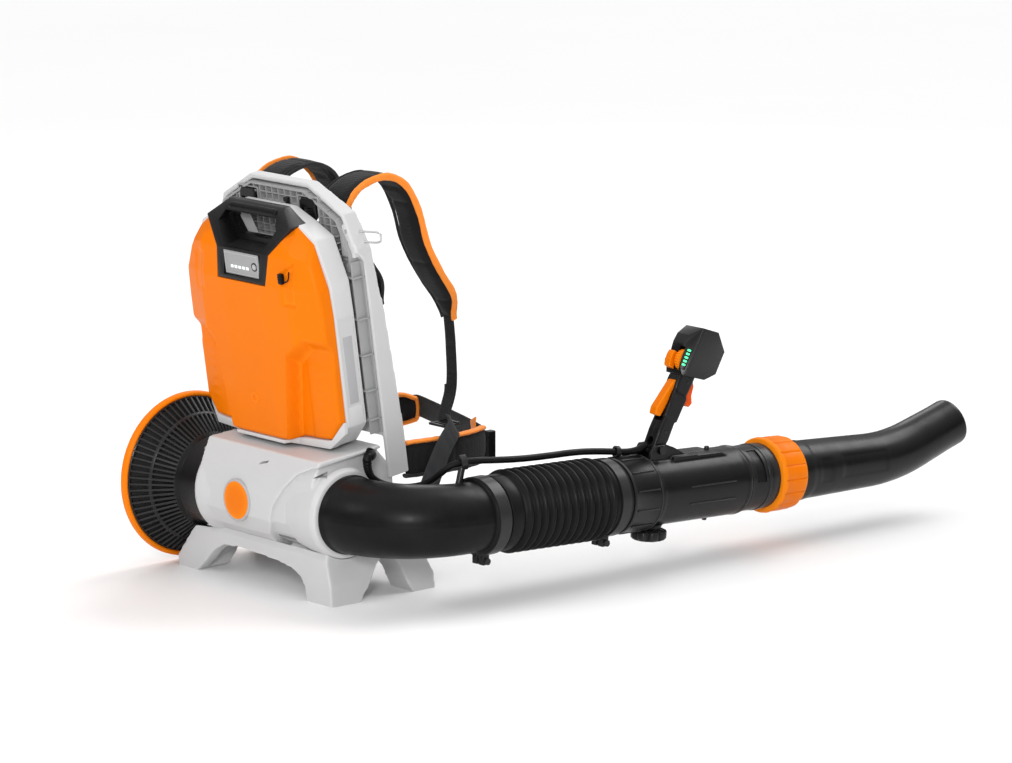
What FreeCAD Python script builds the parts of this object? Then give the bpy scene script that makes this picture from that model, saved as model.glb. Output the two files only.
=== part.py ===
import FreeCAD, Part
import os
from math import cos, pi, radians, sin, tan

# Battery backpack leaf blower, standing on its four feet. Millimetres.
# +X points to the wearer's right, +Y forward along the blow tube, +Z up.
# The origin is on the floor, in the middle of the four feet.

V = FreeCAD.Vector
X_DIR, Y_DIR, Z_DIR = V(1, 0, 0), V(0, 1, 0), V(0, 0, 1)

# ---- driving dimensions -------------------------------------------------------------------
LEAN = 8.0            # degrees that the battery and the back plate lean towards -Y
DROOP = 2.1           # degrees that the blow tube hangs below the horizontal
WALL = 3.0            # wall of the moulded housings
PLAY = 0.05           # radial clearance of the running fits
GAP = 0.6             # clearance between separate bodies

FOOT_X = 164.5        # outer faces of the feet
FOOT_Y = 87.0
FOOT_W = 43.0         # width of a foot
DECK_TOP = 72.0       # top of the base frame

FAN_Y, FAN_Z = -52.0, 118.0      # axis of the fan, along X
DUCT_R = 49.0                    # inside of the fan duct
MOUTH_X = 162.0                  # where the elbow leaves the housing
CAGE_X0, CAGE_X1 = -130.0, -183.0
CAGE_R0, CAGE_R1 = 60.0, 109.0
RIM_R = 113.0

BATTERY_HALF = 143.0
BATTERY_BOTTOM, BATTERY_TOP = 202.0, 518.0    # along the leaning height
COVER_FRONT, COVER_BACK, BATTERY_REAR = -46.0, -9.0, 24.0

PLATE_FRONT, PLATE_HALF, PLATE_TOP = 36.0, 150.0, 541.0
SPAR_FRONT, PANEL_Y = 45.0, 45.0   # front of the spars beside the battery, and of the plate's panel

BEND_R = 113.0                   # centreline radius of the elbow
ELBOW_R0, ELBOW_R1 = 51.0, 46.0
TUBE_X = MOUTH_X + BEND_R
ELBOW_END_Y = FAN_Y + BEND_R
BELLOWS_Y0, BELLOWS_Y1 = 108.0, 268.0
BELLOWS_RIDGES = 12
BRACKET_Y0, BRACKET_Y1 = 353.0, 519.0
STUB_END_Y = 573.0
RING_Y0, RING_Y1 = 574.0, 623.0
CORE_R = 44.0                    # outside of the blower tube under the handle bracket
NOZZLE_R, TIP_R = 41.0, 33.5
NOZZLE_TAIL_Y, NOZZLE_BEND_Y = 490.0, 780.0
NOZZLE_BEND, NOZZLE_BEND_R = 18.0, 300.0
NOZZLE_TAPER_Y = 640.0           # where the nozzle starts to narrow
NOZZLE_END = 926.0               # unbent distance at which the straight tip starts
TIP_LENGTH = 27.0

PIVOT = V(TUBE_X, 376.0, 166.0)  # bolt that the grip tilts on
GRIP_TILT = 30.0
HEAD_HALF = 17.0
KNOB_Y, KNOB_R = 372.0, 25.0

CABLE_R = 4.5
STRAP_X = 75.0                   # centre of each shoulder strap
PAD_WIDTH, PAD_THICK = 60.0, 13.0


# ---- helpers --------------------------------------------------------------------------------
def box(x0, y0, z0, x1, y1, z1):
    return Part.makeBox(x1 - x0, y1 - y0, z1 - z0, V(x0, y0, z0))


def rod(r, start, end):
    return Part.makeCylinder(r, (end - start).Length, start, end - start)


def pipe(outer, inner, start, end):
    return rod(outer, start, end).cut(rod(inner, start, end))


def prism(outline, plane, low, high):
    """A closed outline in the yz, xz or xy plane, extruded from low to high."""
    place = {"yz": lambda a, b: V(low, a, b), "xz": lambda a, b: V(a, low, b),
             "xy": lambda a, b: V(a, b, low)}[plane]
    direction = {"yz": X_DIR, "xz": Y_DIR, "xy": Z_DIR}[plane]
    points = [place(a, b) for a, b in outline]
    return Part.Face(Part.makePolygon(points + points[:1])).extrude(direction * (high - low))


def mirrored(outline):
    """The outline's right half, given from top to bottom, closed with its mirror image."""
    return list(outline) + [(-a, b) for a, b in reversed(outline)]


def revolved(profile, centre, direction):
    """A closed profile of (distance along, radius), turned about an axis."""
    along = V(direction)
    across = Z_DIR if abs(along.z) < 0.5 else X_DIR
    points = [centre + along * a + across * r for a, r in profile]
    face = Part.Face(Part.makePolygon(points + points[:1]))
    return face.revolve(centre, along, 360)


def joined(shapes):
    first = shapes[0]
    return first.fuse(shapes[1:]).removeSplitter()


def group(shapes):
    return Part.makeCompound(shapes)


def lean(shape):
    """From the leaning frame of battery and plate to the part's frame."""
    turned = shape.copy()
    turned.rotate(V(0, 0, 0), X_DIR, LEAN)
    return turned


def droop(shape):
    """From a level tube to the hanging one, about the rear end of the bellows."""
    turned = shape.copy()
    turned.rotate(V(TUBE_X, BELLOWS_Y0, FAN_Z), X_DIR, -DROOP)
    return turned


def on_grip(shape):
    """From the grip's own frame, +Z up along it from the pivot, to the part's frame."""
    turned = shape.copy()
    turned.rotate(V(0, 0, 0), X_DIR, -GRIP_TILT)
    turned.translate(PIVOT)
    return turned


def ribbon(points, across, width, thick):
    """A strap of rectangular section through the points, its width along `across`."""
    across = V(across).normalize()
    wires = []
    for i, here in enumerate(points):
        ahead = points[min(i + 1, len(points) - 1)] - points[max(i - 1, 0)]
        normal = ahead.normalize().cross(across).normalize()
        side, out = across * (width / 2), normal * (thick / 2)
        corners = [here + side + out, here - side + out, here - side - out, here + side - out]
        wires.append(Part.makePolygon(corners + corners[:1]))
    return Part.makeLoft(wires, True, True)


def cord(name, points, radius):
    """A tube on straight runs and tangent arcs, each as large as its two runs allow."""
    edges = []
    start = points[0]
    radii = []
    length = 0.0
    for before, corner, after in zip(points, points[1:], points[2:]):
        to_corner, from_corner = corner - before, after - corner
        half = to_corner.getAngle(from_corner) / 2
        reach = 0.45 * min(to_corner.Length, from_corner.Length)
        bend = reach / tan(half)
        radii.append(bend)
        enter = corner - V(to_corner).normalize() * reach
        leave = corner + V(from_corner).normalize() * reach
        inward = (enter + leave) * 0.5 - corner
        middle = corner + V(inward).normalize() * (bend / cos(half) - bend)
        edges += [Part.LineSegment(start, enter).toShape(), Part.Arc(enter, middle, leave).toShape()]
        length += (enter - start).Length + 2 * half * bend
        start = leave
    edges.append(Part.LineSegment(start, points[-1]).toShape())
    length += (points[-1] - start).Length
    path = Part.Wire(edges)
    section = Part.Wire(Part.makeCircle(radius, points[0], points[1] - points[0]))
    tube = path.makePipeShell([section], True, True)
    ratio = tube.Volume / (pi * radius ** 2 * length)
    print(name, "length", round(length, 1), "radii", [round(r) for r in radii], "volume", round(ratio, 4))
    return tube


def loft_round(stations):
    """A solid through circles that face +Y, each then turned: (centre, axis, degrees, radius)."""
    wires = []
    for centre, axis, degrees, radius in stations:
        circle = Part.makeCircle(radius, V(0, 0, 0), Y_DIR)
        circle.rotate(V(0, 0, 0), axis, degrees)
        circle.translate(centre)
        wires.append(Part.Wire(circle))
    return Part.makeLoft(wires, True, False)


def fan_axis(x, y=0.0, z=0.0):
    return V(x, FAN_Y + y, FAN_Z + z)


def tube_axis(y, dz=0.0, dx=0.0):
    return V(TUBE_X + dx, y, FAN_Z + dz)


def tube_pipe(outer, inner, y0, y1):
    return pipe(outer, inner, tube_axis(y0), tube_axis(y1))


# ---- base frame and fan housing -------------------------------------------------------------
def cage_room():
    """Space that the intake cage needs in the parts around it."""
    return revolved([(-200, 0), (-200, 120), (-180, 114), (CAGE_X0 + 4, 66), (-80, 63), (-80, 0)],
                    fan_axis(0), X_DIR)


def base_frame():
    """Bridge on four feet, arched between them on every side."""
    inner = FOOT_X - FOOT_W
    front = [(-FOOT_X, 0), (-inner, 0), (-inner + 14, 16), (-inner + 32, 36), (-inner + 60, 46),
             (0, 49), (60, 46), (inner - 28, 37), (inner - 8, 22), (inner, 0), (FOOT_X, 0),
             (FOOT_X - 4, 30), (FOOT_X - 16, DECK_TOP), (-112, DECK_TOP), (-134, 52), (-FOOT_X, 15)]
    beams = [prism(front, "xz", y0, y0 + 22) for y0 in (-FOOT_Y, FOOT_Y - 22)]
    side = [(-FOOT_Y, 0), (-FOOT_Y + 43, 0), (-20, 24), (6, 62), (14, 62), (36, 28), (FOOT_Y - 30, 0),
            (FOOT_Y, 0), (FOOT_Y, 22), (60, DECK_TOP), (-FOOT_Y, DECK_TOP)]
    legs = [prism(side, "yz", FOOT_X - 30, FOOT_X), prism(side, "yz", -FOOT_X, -FOOT_X + 26)]
    trim = prism([(-FOOT_X, 0), (FOOT_X, 0), (FOOT_X, 15), (FOOT_X - 16, DECK_TOP + 1),
                  (-112, DECK_TOP + 1), (-134, 52), (-FOOT_X, 15)], "xz", -FOOT_Y, FOOT_Y)
    feet = [box(sx - FOOT_W / 2, y0, 0, sx + FOOT_W / 2, y0 + 32, 12)
            for sx in (-FOOT_X + FOOT_W / 2, FOOT_X - FOOT_W / 2) for y0 in (-FOOT_Y, FOOT_Y - 32)]
    deck = box(-110, -80, DECK_TOP - 8, FOOT_X - 18, 80, DECK_TOP)
    frame = joined(beams + legs + feet + [deck]).common(trim)
    barrel = rod(62.4, fan_axis(-200), fan_axis(200))
    rear_room = box(-100, -60, 58.5, HOUSING_X1 + 0.4, 57, DECK_TOP + 5)
    return frame.cut([barrel, rear_room, cage_room()])


def housing_outline(inset):
    """Side view of the fan housing: barrel in front, shelf under the battery, tail at the back."""
    i = inset
    return [(-52, 59 + i), (-77, 64.5 + i), (-97 + i, 80 + i / 2), (-108 + i, 102), (-108 + i, 136),
            (-102 + i, 160), (-89 + i, 190 - i), (-30, 195.5 - i), (8, 200.8 - i), (52 - i, 150),
            (56 - i, 96), (56 - i, 59 + i)]


HOUSING_X0, HOUSING_X1 = -88.0, 146.0


def housing_shell():
    outer = prism(housing_outline(0), "yz", HOUSING_X0, HOUSING_X1)
    inner = prism(housing_outline(WALL), "yz", HOUSING_X0 + WALL, HOUSING_X1 - WALL)
    bores = rod(DUCT_R + 3.1, fan_axis(HOUSING_X0 - 1), fan_axis(HOUSING_X1 + 1))
    return outer.cut([inner, bores])


SEAM_Y = -40.0


def fan_housing_front():
    front = housing_shell().common(box(-200, -200, 0, 200, SEAM_Y, 300))
    drain = rod(3.5, V(37, -120, 172), V(37, -60, 172))
    return front.cut(drain)


def fan_housing_rear():
    return housing_shell().common(box(-200, SEAM_Y, 0, 200, 200, 300)).cut(back_plate())


def fan_duct():
    """Duct with the stator vanes that carry the motor."""
    tube = pipe(DUCT_R + 3, DUCT_R, fan_axis(-124), fan_axis(143))
    flange = pipe(52.9, DUCT_R + 2, fan_axis(-84), fan_axis(-80))
    rear_flange = pipe(52.9, DUCT_R + 2, fan_axis(138), fan_axis(142))
    vanes = []
    for k in range(7):
        vane = box(20, FAN_Y - 1.2, FAN_Z + 26.5, 66, FAN_Y + 1.2, FAN_Z + DUCT_R + 1)
        vane.rotate(fan_axis(0), X_DIR, k * 360 / 7)
        vanes.append(vane)
    sleeve = pipe(28.0, 26.0, fan_axis(10), fan_axis(72))
    return joined([tube, flange, rear_flange, sleeve] + vanes)


def motor_housing():
    can = revolved([(8, 0), (8, 25.9), (70, 25.9), (94, 12), (96, 0)], fan_axis(0), X_DIR)
    room = rod(22.5, fan_axis(11), fan_axis(66))
    shaft = rod(4.0, fan_axis(0), fan_axis(80))
    return can.cut([room, shaft.fuse(rod(8.0, fan_axis(0), fan_axis(12)))])


def motor_bearings():
    return group([pipe(8.0, 3 + PLAY, fan_axis(8.2), fan_axis(10.8)),
                  pipe(4.0, 3 + PLAY, fan_axis(67), fan_axis(72))])


def motor_rotor():
    """Shaft and magnet ring, one piece."""
    return joined([rod(3.0, fan_axis(-46), fan_axis(71)), rod(19.0, fan_axis(16), fan_axis(60))])


def impeller():
    hub = revolved([(-62, 3), (-62, 10), (-52, 22), (-16, 24), (-16, 20), (-40, 18), (-44, 3)],
                   fan_axis(0), X_DIR)
    blades = []
    for k in range(9):
        root = V(-22, FAN_Y - 14, FAN_Z + 20)
        blade = box(0, 0, 0, 42, 1.8, DUCT_R - 1.6 - 20)
        blade.rotate(V(0, 0, 0), Z_DIR, 142)
        blade.translate(root)
        blade.rotate(fan_axis(0), X_DIR, k * 40)
        blades.append(blade)
    limit = rod(DUCT_R - 1.0, fan_axis(-60), fan_axis(-14))
    return joined([hub] + [b.common(limit) for b in blades]).cut(rod(3.0, fan_axis(-80), fan_axis(0)))


def outlet_collar():
    """White ring round the elbow's spigot."""
    return revolved([(HOUSING_X1, ELBOW_R0 + PLAY), (HOUSING_X1, 62), (150, 61), (156, 57),
                     (157.5, 54.5), (157.5, ELBOW_R0 + PLAY)], fan_axis(0), X_DIR)


def badge():
    """Blank round plate on the housing's front."""
    disc = rod(27.0, V(-4, -110.2, 119), V(-4, -108, 119))
    return disc.fuse(rod(24.0, V(-4, -111, 119), V(-4, -108, 119))).removeSplitter()


def intake_cage():
    """Dish with radial slots between the rim and the housing."""
    outer = [(-89, 61.5), (CAGE_X0, CAGE_R0 + 2), (CAGE_X1, CAGE_R1)]
    inner = [(CAGE_X1, CAGE_R1 - 3.5), (CAGE_X0 + 3, CAGE_R0 - 1), (-89, 58.5)]
    dish = revolved(outer + inner, fan_axis(0), X_DIR)
    slots = []
    for k in range(36):
        slot = box(CAGE_X1 + 8, FAN_Y - 1.6, FAN_Z + CAGE_R0 - 4, CAGE_X0 - 4, FAN_Y + 1.6, FAN_Z + CAGE_R1)
        slot.rotate(fan_axis(0), X_DIR, k * 10 + 5)
        slots.append(slot)
    return dish.cut(group(slots))


def intake_rim():
    return revolved([(CAGE_X1, CAGE_R1 - 6), (CAGE_X1, CAGE_R1), (-182, RIM_R), (-190, RIM_R),
                     (-192, RIM_R - 3), (-192, CAGE_R1 - 6)], fan_axis(0), X_DIR)


def intake_grille():
    """Flat outer guard inside the orange rim."""
    rings = [pipe(r, r - 2.5, fan_axis(-189), fan_axis(-185)) for r in (CAGE_R1 - 6, 84, 64, 44, 24)]
    spokes = []
    for k in range(12):
        spoke = box(-189, FAN_Y - 1.2, FAN_Z + 10, -185, FAN_Y + 1.2, FAN_Z + CAGE_R1 - 7.2)
        spoke.rotate(fan_axis(0), X_DIR, k * 30)
        spokes.append(spoke)
    return joined(rings + spokes + [rod(12.0, fan_axis(-189), fan_axis(-185))])


def controller():
    """Motor electronics with a finned cover, behind the duct."""
    fins = [box(-50 + 9 * k, 22, 82, -47 + 9 * k, 36, 146) for k in range(9)]
    return joined([box(-54, 8, 78, 34, 23, 150)] + fins)


def housing_screws():
    """Screws that hold the front shell."""
    spots = [(-74, 184), (-20, 184), (60, 184), (130, 184)]
    return group([rod(3.0, V(x, SEAM_Y - 12, z), V(x, SEAM_Y + 16, z)) for x, z in spots])


# ---- back plate ------------------------------------------------------------------------------
LATCH_X = 63.0
SLOT_CORNERS = [(34, 528), (34, 515)]
LADDER_Z = (232, 271, 319, 368, 424)   # heights of the ladder's ribs
PLATE_OUTLINE = [(62, PLATE_TOP), (126, 507), (146, 462), (PLATE_HALF, 385), (PLATE_HALF, 150)]
PLATE_INNER = [(59, PLATE_TOP - 7), (121, 502), (140, 459), (PLATE_HALF - 6, 384), (PLATE_HALF - 6, 150)]


def back_plate():
    """Tray with deep side spars and a narrow band over the top; its panel sits behind the ribs."""
    outline = prism(mirrored(PLATE_OUTLINE), "xz", PLATE_FRONT, 80)
    side = [(SPAR_FRONT, 150), (SPAR_FRONT, 450), (PLATE_FRONT, 459), (PLATE_FRONT, 545), (52, 545), (59, 500),
            (66, 392), (78, 205), (78, 150)]
    body = outline.common(prism(side, "yz", -160, 160))
    room = prism(mirrored(PLATE_INNER), "xz", PLATE_FRONT - 1, 81)
    panel = prism(mirrored(PLATE_INNER[:-1] + [(PLATE_HALF - 6, 207)]), "xz", PANEL_Y, PANEL_Y + 3.5)
    handle_slot = prism(mirrored(SLOT_CORNERS), "xz", PANEL_Y - 1, PANEL_Y + 5)
    holes = [rod(3.2, V(sx * 130, PANEL_Y - 2, z), V(sx * 130, PANEL_Y + 6, z))
             for sx in (-1, 1) for z in (455, 470, 485)]
    holes += [latch_room(sx) for sx in (-1, 1)]
    plate = body.cut(room).fuse(panel).cut([handle_slot] + holes).removeSplitter()
    return lean(plate).cut(cage_room())


def latch_room(sx):
    """Window that a latch sits in, deep enough for it to swing back."""
    return box(sx * LATCH_X - 19, 25, 487, sx * LATCH_X + 19, PANEL_Y + 5, 524)


def plate_ribs():
    """Grey ladder of ribs between the battery and the plate; its sides show in front of the spars."""
    back = PANEL_Y - 0.1
    wing = PLATE_HALF - 2.5
    cross = [box(-wing, 27, z, wing, back, z + 2.4) for z in LADDER_Z]
    upright = [box(x - 1.2, 28, 215, x + 1.2, back, 448) for x in (-141, -100, -50, 0, 50, 100, 141)]
    top = [box(-110, 32, z, 110, back, z + 1.6) for z in (490, 500, 510, 520, 530)]
    top += [box(x - 0.8, 32, 450, x + 0.8, back, 532) for x in range(-104, 105, 16)]
    top.append(box(-138, 34, 440, 138, back, 486))
    inside = prism(mirrored([(58, PLATE_TOP - 8.5), (119.6, 501), (138.8, 458), (143.6, 384), (143.6, 150)]),
                   "xz", 20, 50)
    slot = prism(mirrored(SLOT_CORNERS), "xz", 20, 50)
    rooms = [latch_room(sx) for sx in (-1, 1)]
    upper = joined(top).common(inside).cut([slot] + rooms)
    return lean(joined([upper] + cross + upright))


def plate_hooks():
    """Hook for the battery's carrying strap, and a wire eye on the right spar for the harness."""
    arm = [(31.5, 498), (31.5, 520), (26, 520), (26, 514), (29, 514), (29, 498)]
    wires = [rod(1.4, V(136, 52, z), V(168, 62, z)) for z in (468, 482)]
    wires.append(rod(1.4, V(166, 61.7, 466), V(166, 61.7, 484)))
    return lean(group([prism(arm, "yz", 17, 25), joined(wires)]))


def latch_pins():
    pins = [rod(2.0, V(sx * LATCH_X - 17, 33, 520), V(sx * LATCH_X + 17, 33, 520)) for sx in (-1, 1)]
    return lean(group(pins))


def latch(sx):
    """Catch behind the battery's shoulder; it swings back on its pin to let the battery go."""
    arm = [(29.5, 492), (29.5, 523), (36.2, 523), (36.2, 516), (33.5, 492)]
    body = prism(arm, "yz", sx * LATCH_X - 16, sx * LATCH_X + 16)
    pocket = box(sx * LATCH_X - 9, 28, 498, sx * LATCH_X + 9, 31, 512)
    bore = rod(2.0 + PLAY, V(sx * LATCH_X - 20, 33, 520), V(sx * LATCH_X + 20, 33, 520))
    return lean(body.cut([pocket, bore]))


def battery_contacts():
    """Terminal block on the shelf, below the battery."""
    block = box(-34, -8, 198.5, 34, 16, 202)
    blades = [box(x - 1, -4, 202, x + 1, 12, 205.5) for x in (-20, -7, 7, 20)]
    return lean(joined([block] + blades))


def cable_gland():
    """Bent grommet in the housing's right side, where the throttle cable comes out."""
    down = (CABLE_LOWER[1] - CABLE_LOWER[0]).normalize()
    root = V(HOUSING_X1, -8, 190)
    middle = root + X_DIR * 7
    bend = CABLE_LOWER[0] - down * 7
    tube = joined([rod(8.5, root, root + X_DIR * 3), rod(6.0, root, middle), Part.makeSphere(6.0, middle),
                   rod(6.0, middle, bend), Part.makeSphere(6.0, bend), rod(6.0, bend, CABLE_LOWER[0])])
    return tube.cut(rod(CABLE_R + 1, CABLE_LOWER[0], CABLE_LOWER[0] + down * 20))


# ---- battery -----------------------------------------------------------------------------------
SHELL_OUTLINE = [(50, 514), (86, 499), (120, 482), (141, 424), (BATTERY_HALF, 380), (BATTERY_HALF, 232),
                 (118, 204), (60, BATTERY_BOTTOM)]
COVER_UPPER = [(54, 478), (84, 498), (118, 477), (138, 418), (141, 384), (141, 345), (0, 345)]
COVER_LOWER = [(140, 400), (140, 240), (122, 216), (0, 212)]
PANEL_OUTLINE = [(76, 400), (76, 345), (60, 224), (52, 214)]
HANDLE_OUTLINE = [(57, BATTERY_TOP), (88, 497), (54, 461), (50.4, 421)]
WINDOW_OUTLINE = [(50, 507), (58, 492), (42, 470)]


def battery_side_view():
    """Front of the battery seen from the side: upright, then sloping back to the top."""
    return [(COVER_FRONT, 200), (COVER_FRONT, 421), (-38, 461), (-21, 497), (-5, 518), (30, 518), (30, 200)]


def frame_core():
    """The carrying handle's block, with the tail that reaches back into the shell."""
    block = prism(mirrored(HANDLE_OUTLINE), "xz", -42, COVER_BACK)
    block = block.common(prism(battery_side_view(), "yz", -99, 99))
    tail = prism(mirrored([(50, 516), (82, 499), (50, 470)]), "xz", COVER_BACK, 6)
    return block.fuse(tail).removeSplitter()


def battery_shell():
    """White rear half: open at the front, where the cover closes it."""
    outer = prism(mirrored(SHELL_OUTLINE), "xz", COVER_BACK, BATTERY_REAR)
    inner = [(x - WALL if x > 0 else x, z - (WALL if z > 300 else -WALL)) for x, z in SHELL_OUTLINE]
    room = prism(mirrored([(44, 468)] + inner[2:]), "xz", COVER_BACK - 1, BATTERY_REAR - WALL)
    window = prism(mirrored(WINDOW_OUTLINE), "xz", -60, 40)
    above = prism([(-60, 497), (-21, 497), (-5, 518), (60, 518), (60, 600), (-60, 600)], "yz", -200, 200)
    step = box(-52, COVER_BACK - 1, 190, 52, BATTERY_REAR + 1, 207)
    return lean(outer.cut([room, window, above, step, frame_core()]))


def battery_cover():
    """Orange front: wide at the top, with the sides of the lower part set back."""
    upper = prism(mirrored(COVER_UPPER), "xz", COVER_FRONT, COVER_BACK)
    sides = prism([(COVER_FRONT, 355), (-22, 330), (-22, 200), (-60, 200), (-60, 355)], "yz", -200, 200)
    lower = prism(mirrored(COVER_LOWER), "xz", COVER_FRONT, COVER_BACK).cut(sides)
    panel = prism(mirrored(PANEL_OUTLINE), "xz", COVER_FRONT, COVER_BACK)
    corner = [prism([(sx * 86, COVER_FRONT - 1), (sx * 150, COVER_FRONT - 1), (sx * 150, -26)], "xy", 190, 520)
              for sx in (-1, 1)]
    room = prism(mirrored([(50, 455), (110, 470), (134, 416), (136, 384), (136, 244), (120, 220)]), "xz",
                 -19, COVER_BACK + 1)
    middle = prism(mirrored([(70, 452), (70, 345), (56, 226)]), "xz", COVER_FRONT + WALL, -18)
    frame_room = prism(mirrored(HANDLE_OUTLINE), "xz", -60, 0)
    cap_room = box(79, -60, 428, 87, -39.5, 442)
    slope = prism(battery_side_view(), "yz", -200, 200)
    solid = joined([upper, lower, panel]).common(slope)
    return lean(solid.cut(corner + [room, middle, frame_room, cap_room]))


def battery_frame():
    """Black carrying handle with the hand window; the display sits in its lower half."""
    window = prism(mirrored(WINDOW_OUTLINE), "xz", -60, 40)
    pocket = box(-36.5, -43, 427, 36.5, -36.5, 460)
    room = box(-44, -30, 425, 44, COVER_BACK + 1, 462).fuse(rod(4.6, V(27, -38, 443), V(27, -29, 443)))
    above = prism([(-60, 518), (-5, 518), (60, 518), (60, 600), (-60, 600)], "yz", -200, 200)
    return lean(frame_core().cut([window, pocket, room, above]))


def battery_display():
    plate = box(-36, -40.6, 427.5, 36, -36.6, 459.5)
    return lean(plate.cut(rod(4.6, V(27, -50, 443), V(27, -30, 443))))


def battery_button():
    return lean(rod(4.0, V(27, -42.2, 443), V(27, -37.4, 443)))


def battery_cells():
    """Pack of cylindrical cells in a holder."""
    cells = [rod(9.0, V(x, -16, z), V(x, 18, z)) for x in range(-114, 115, 19) for z in range(238, 420, 19)]
    holder = box(-124, -4, 228, 124, 4, 420)
    return lean(holder.fuse(cells).removeSplitter())


def battery_port_cap():
    """Rubber cap of the service port, with its tether."""
    cap = box(79, -45.8, 428, 87, -39.5, 442)
    tether = rod(1.0, V(86, -44, 434), V(97, -44, 438)).fuse(rod(1.0, V(97, -44, 438), V(99, -43, 447)))
    return lean(cap.fuse(tether).removeSplitter())


# ---- elbow and clamps -------------------------------------------------------------------------
def elbow_station(k, count, thickness):
    turn = pi / 2 * k / count
    centre = V(MOUTH_X + BEND_R * sin(turn), FAN_Y + BEND_R * (1 - cos(turn)), FAN_Z)
    radius = ELBOW_R0 + (ELBOW_R1 - ELBOW_R0) * k / count - thickness
    return centre, Z_DIR, -90 + 90 * k / count, radius


def elbow():
    count = 8
    outer = loft_round([elbow_station(k, count, 0) for k in range(count + 1)])
    inner = loft_round([elbow_station(k, count, WALL) for k in range(count + 1)])
    spigot = pipe(ELBOW_R0, ELBOW_R0 - WALL, fan_axis(HOUSING_X1 + 0.5), fan_axis(MOUTH_X))
    end = pipe(ELBOW_R1, ELBOW_R1 - WALL, tube_axis(ELBOW_END_Y), tube_axis(84))
    collar = tube_pipe(ELBOW_R1 + 4, ELBOW_R1 - 1, 61.2, 84)
    return joined([outer.cut(inner), spigot, end, collar])


def hose_clamp(y0, y1, r):
    """Band with a screw ear at the bottom."""
    band = pipe(r + 2.0, r + PLAY, tube_axis(y0), tube_axis(y1))
    middle = (y0 + y1) / 2
    ear = box(TUBE_X - 11, middle - 5, FAN_Z - r - 14, TUBE_X + 11, middle + 5, FAN_Z - r - 1)
    slit = box(TUBE_X - 1.5, y0 - 1, FAN_Z - r - 16, TUBE_X + 1.5, y1 + 1, FAN_Z - r + 1)
    hole = rod(2.6, tube_axis(middle, -r - 9, -20), tube_axis(middle, -r - 9, 20))
    band = band.fuse(ear).cut([slit, hole, rod(r + PLAY, tube_axis(y0 - 9), tube_axis(y1 + 9))])
    screw = rod(2.5, tube_axis(middle, -r - 9, -14), tube_axis(middle, -r - 9, 13))
    head = rod(4.5, tube_axis(middle, -r - 9, 11.05), tube_axis(middle, -r - 9, 15))
    return group([band, screw.fuse(head).removeSplitter()])


def clamp_rear():
    return hose_clamp(63, 82, ELBOW_R1 + 4)


def cable_clip():
    """Ring on a lug that holds the cable above the elbow."""
    along = (CABLE_CLIP - CABLE_LOWER[-2]).normalize()
    ring = rod(10.0, CABLE_CLIP - along * 4, CABLE_CLIP + along * 4)
    lug = rod(4.5, V(253, 53, 156), CABLE_CLIP + V(1, -3, -7))
    hole = rod(CABLE_R + 0.5, CABLE_CLIP - along * 16, CABLE_CLIP + along * 16)
    return ring.fuse(lug).cut([elbow_core(), hole]).removeSplitter()


def elbow_core():
    count = 8
    outer = loft_round([elbow_station(k, count, -0.05) for k in range(count + 1)])
    collar = rod(ELBOW_R1 + 6.3, tube_axis(ELBOW_END_Y), tube_axis(84))
    return outer.fuse(collar)


# ---- bellows and tube -------------------------------------------------------------------------
def bellows():
    """Ribbed hose with a smooth cuff at each end, one wall 2 mm thick."""
    valley, ridge, wall = 48.5, 55.5, 2.0
    pitch = (BELLOWS_Y1 - BELLOWS_Y0) / BELLOWS_RIDGES
    outer = [(86.0, 50.5), (BELLOWS_Y0 - 2, 50.5)]
    for k in range(BELLOWS_RIDGES):
        y = BELLOWS_Y0 + pitch * k
        outer += [(y + 1.0, valley), (y + 4.5, ridge), (y + pitch - 4.5, ridge), (y + pitch - 1.0, valley)]
    outer += [(BELLOWS_Y1 + 2, 50.5), (298, 50.5)]
    inner = [(y, r - wall) for y, r in reversed(outer)]
    return droop(revolved(outer + inner, tube_axis(0), Y_DIR))


def clamp_front():
    return droop(hose_clamp(276, 292, 50.5))


def blower_tube():
    """Tube from the bellows to the nozzle: ribbed sleeve, plain core, bayonet stub."""
    bore = NOZZLE_R + PLAY
    shape = revolved([(272, bore), (272, 48.4), (299, 48.4), (300, 51.5), (350, 51.5), (352, 49), (352, CORE_R),
                      (520, CORE_R), (520, 45.5), (STUB_END_Y, 45.5), (STUB_END_Y, bore)], tube_axis(0), Y_DIR)
    ribs = []
    for k in range(12):
        rib = box(TUBE_X - 1, 306, FAN_Z + 51.0, TUBE_X + 1, 348, FAN_Z + 52.4)
        rib.rotate(tube_axis(0), Y_DIR, k * 30 + 15)
        ribs.append(rib)
    ring, hole = cable_guide()
    core = droop(rod(48.0, tube_axis(280), tube_axis(360)))
    return joined([droop(joined([shape] + ribs)), ring.cut(core)]).cut(hole)


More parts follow.
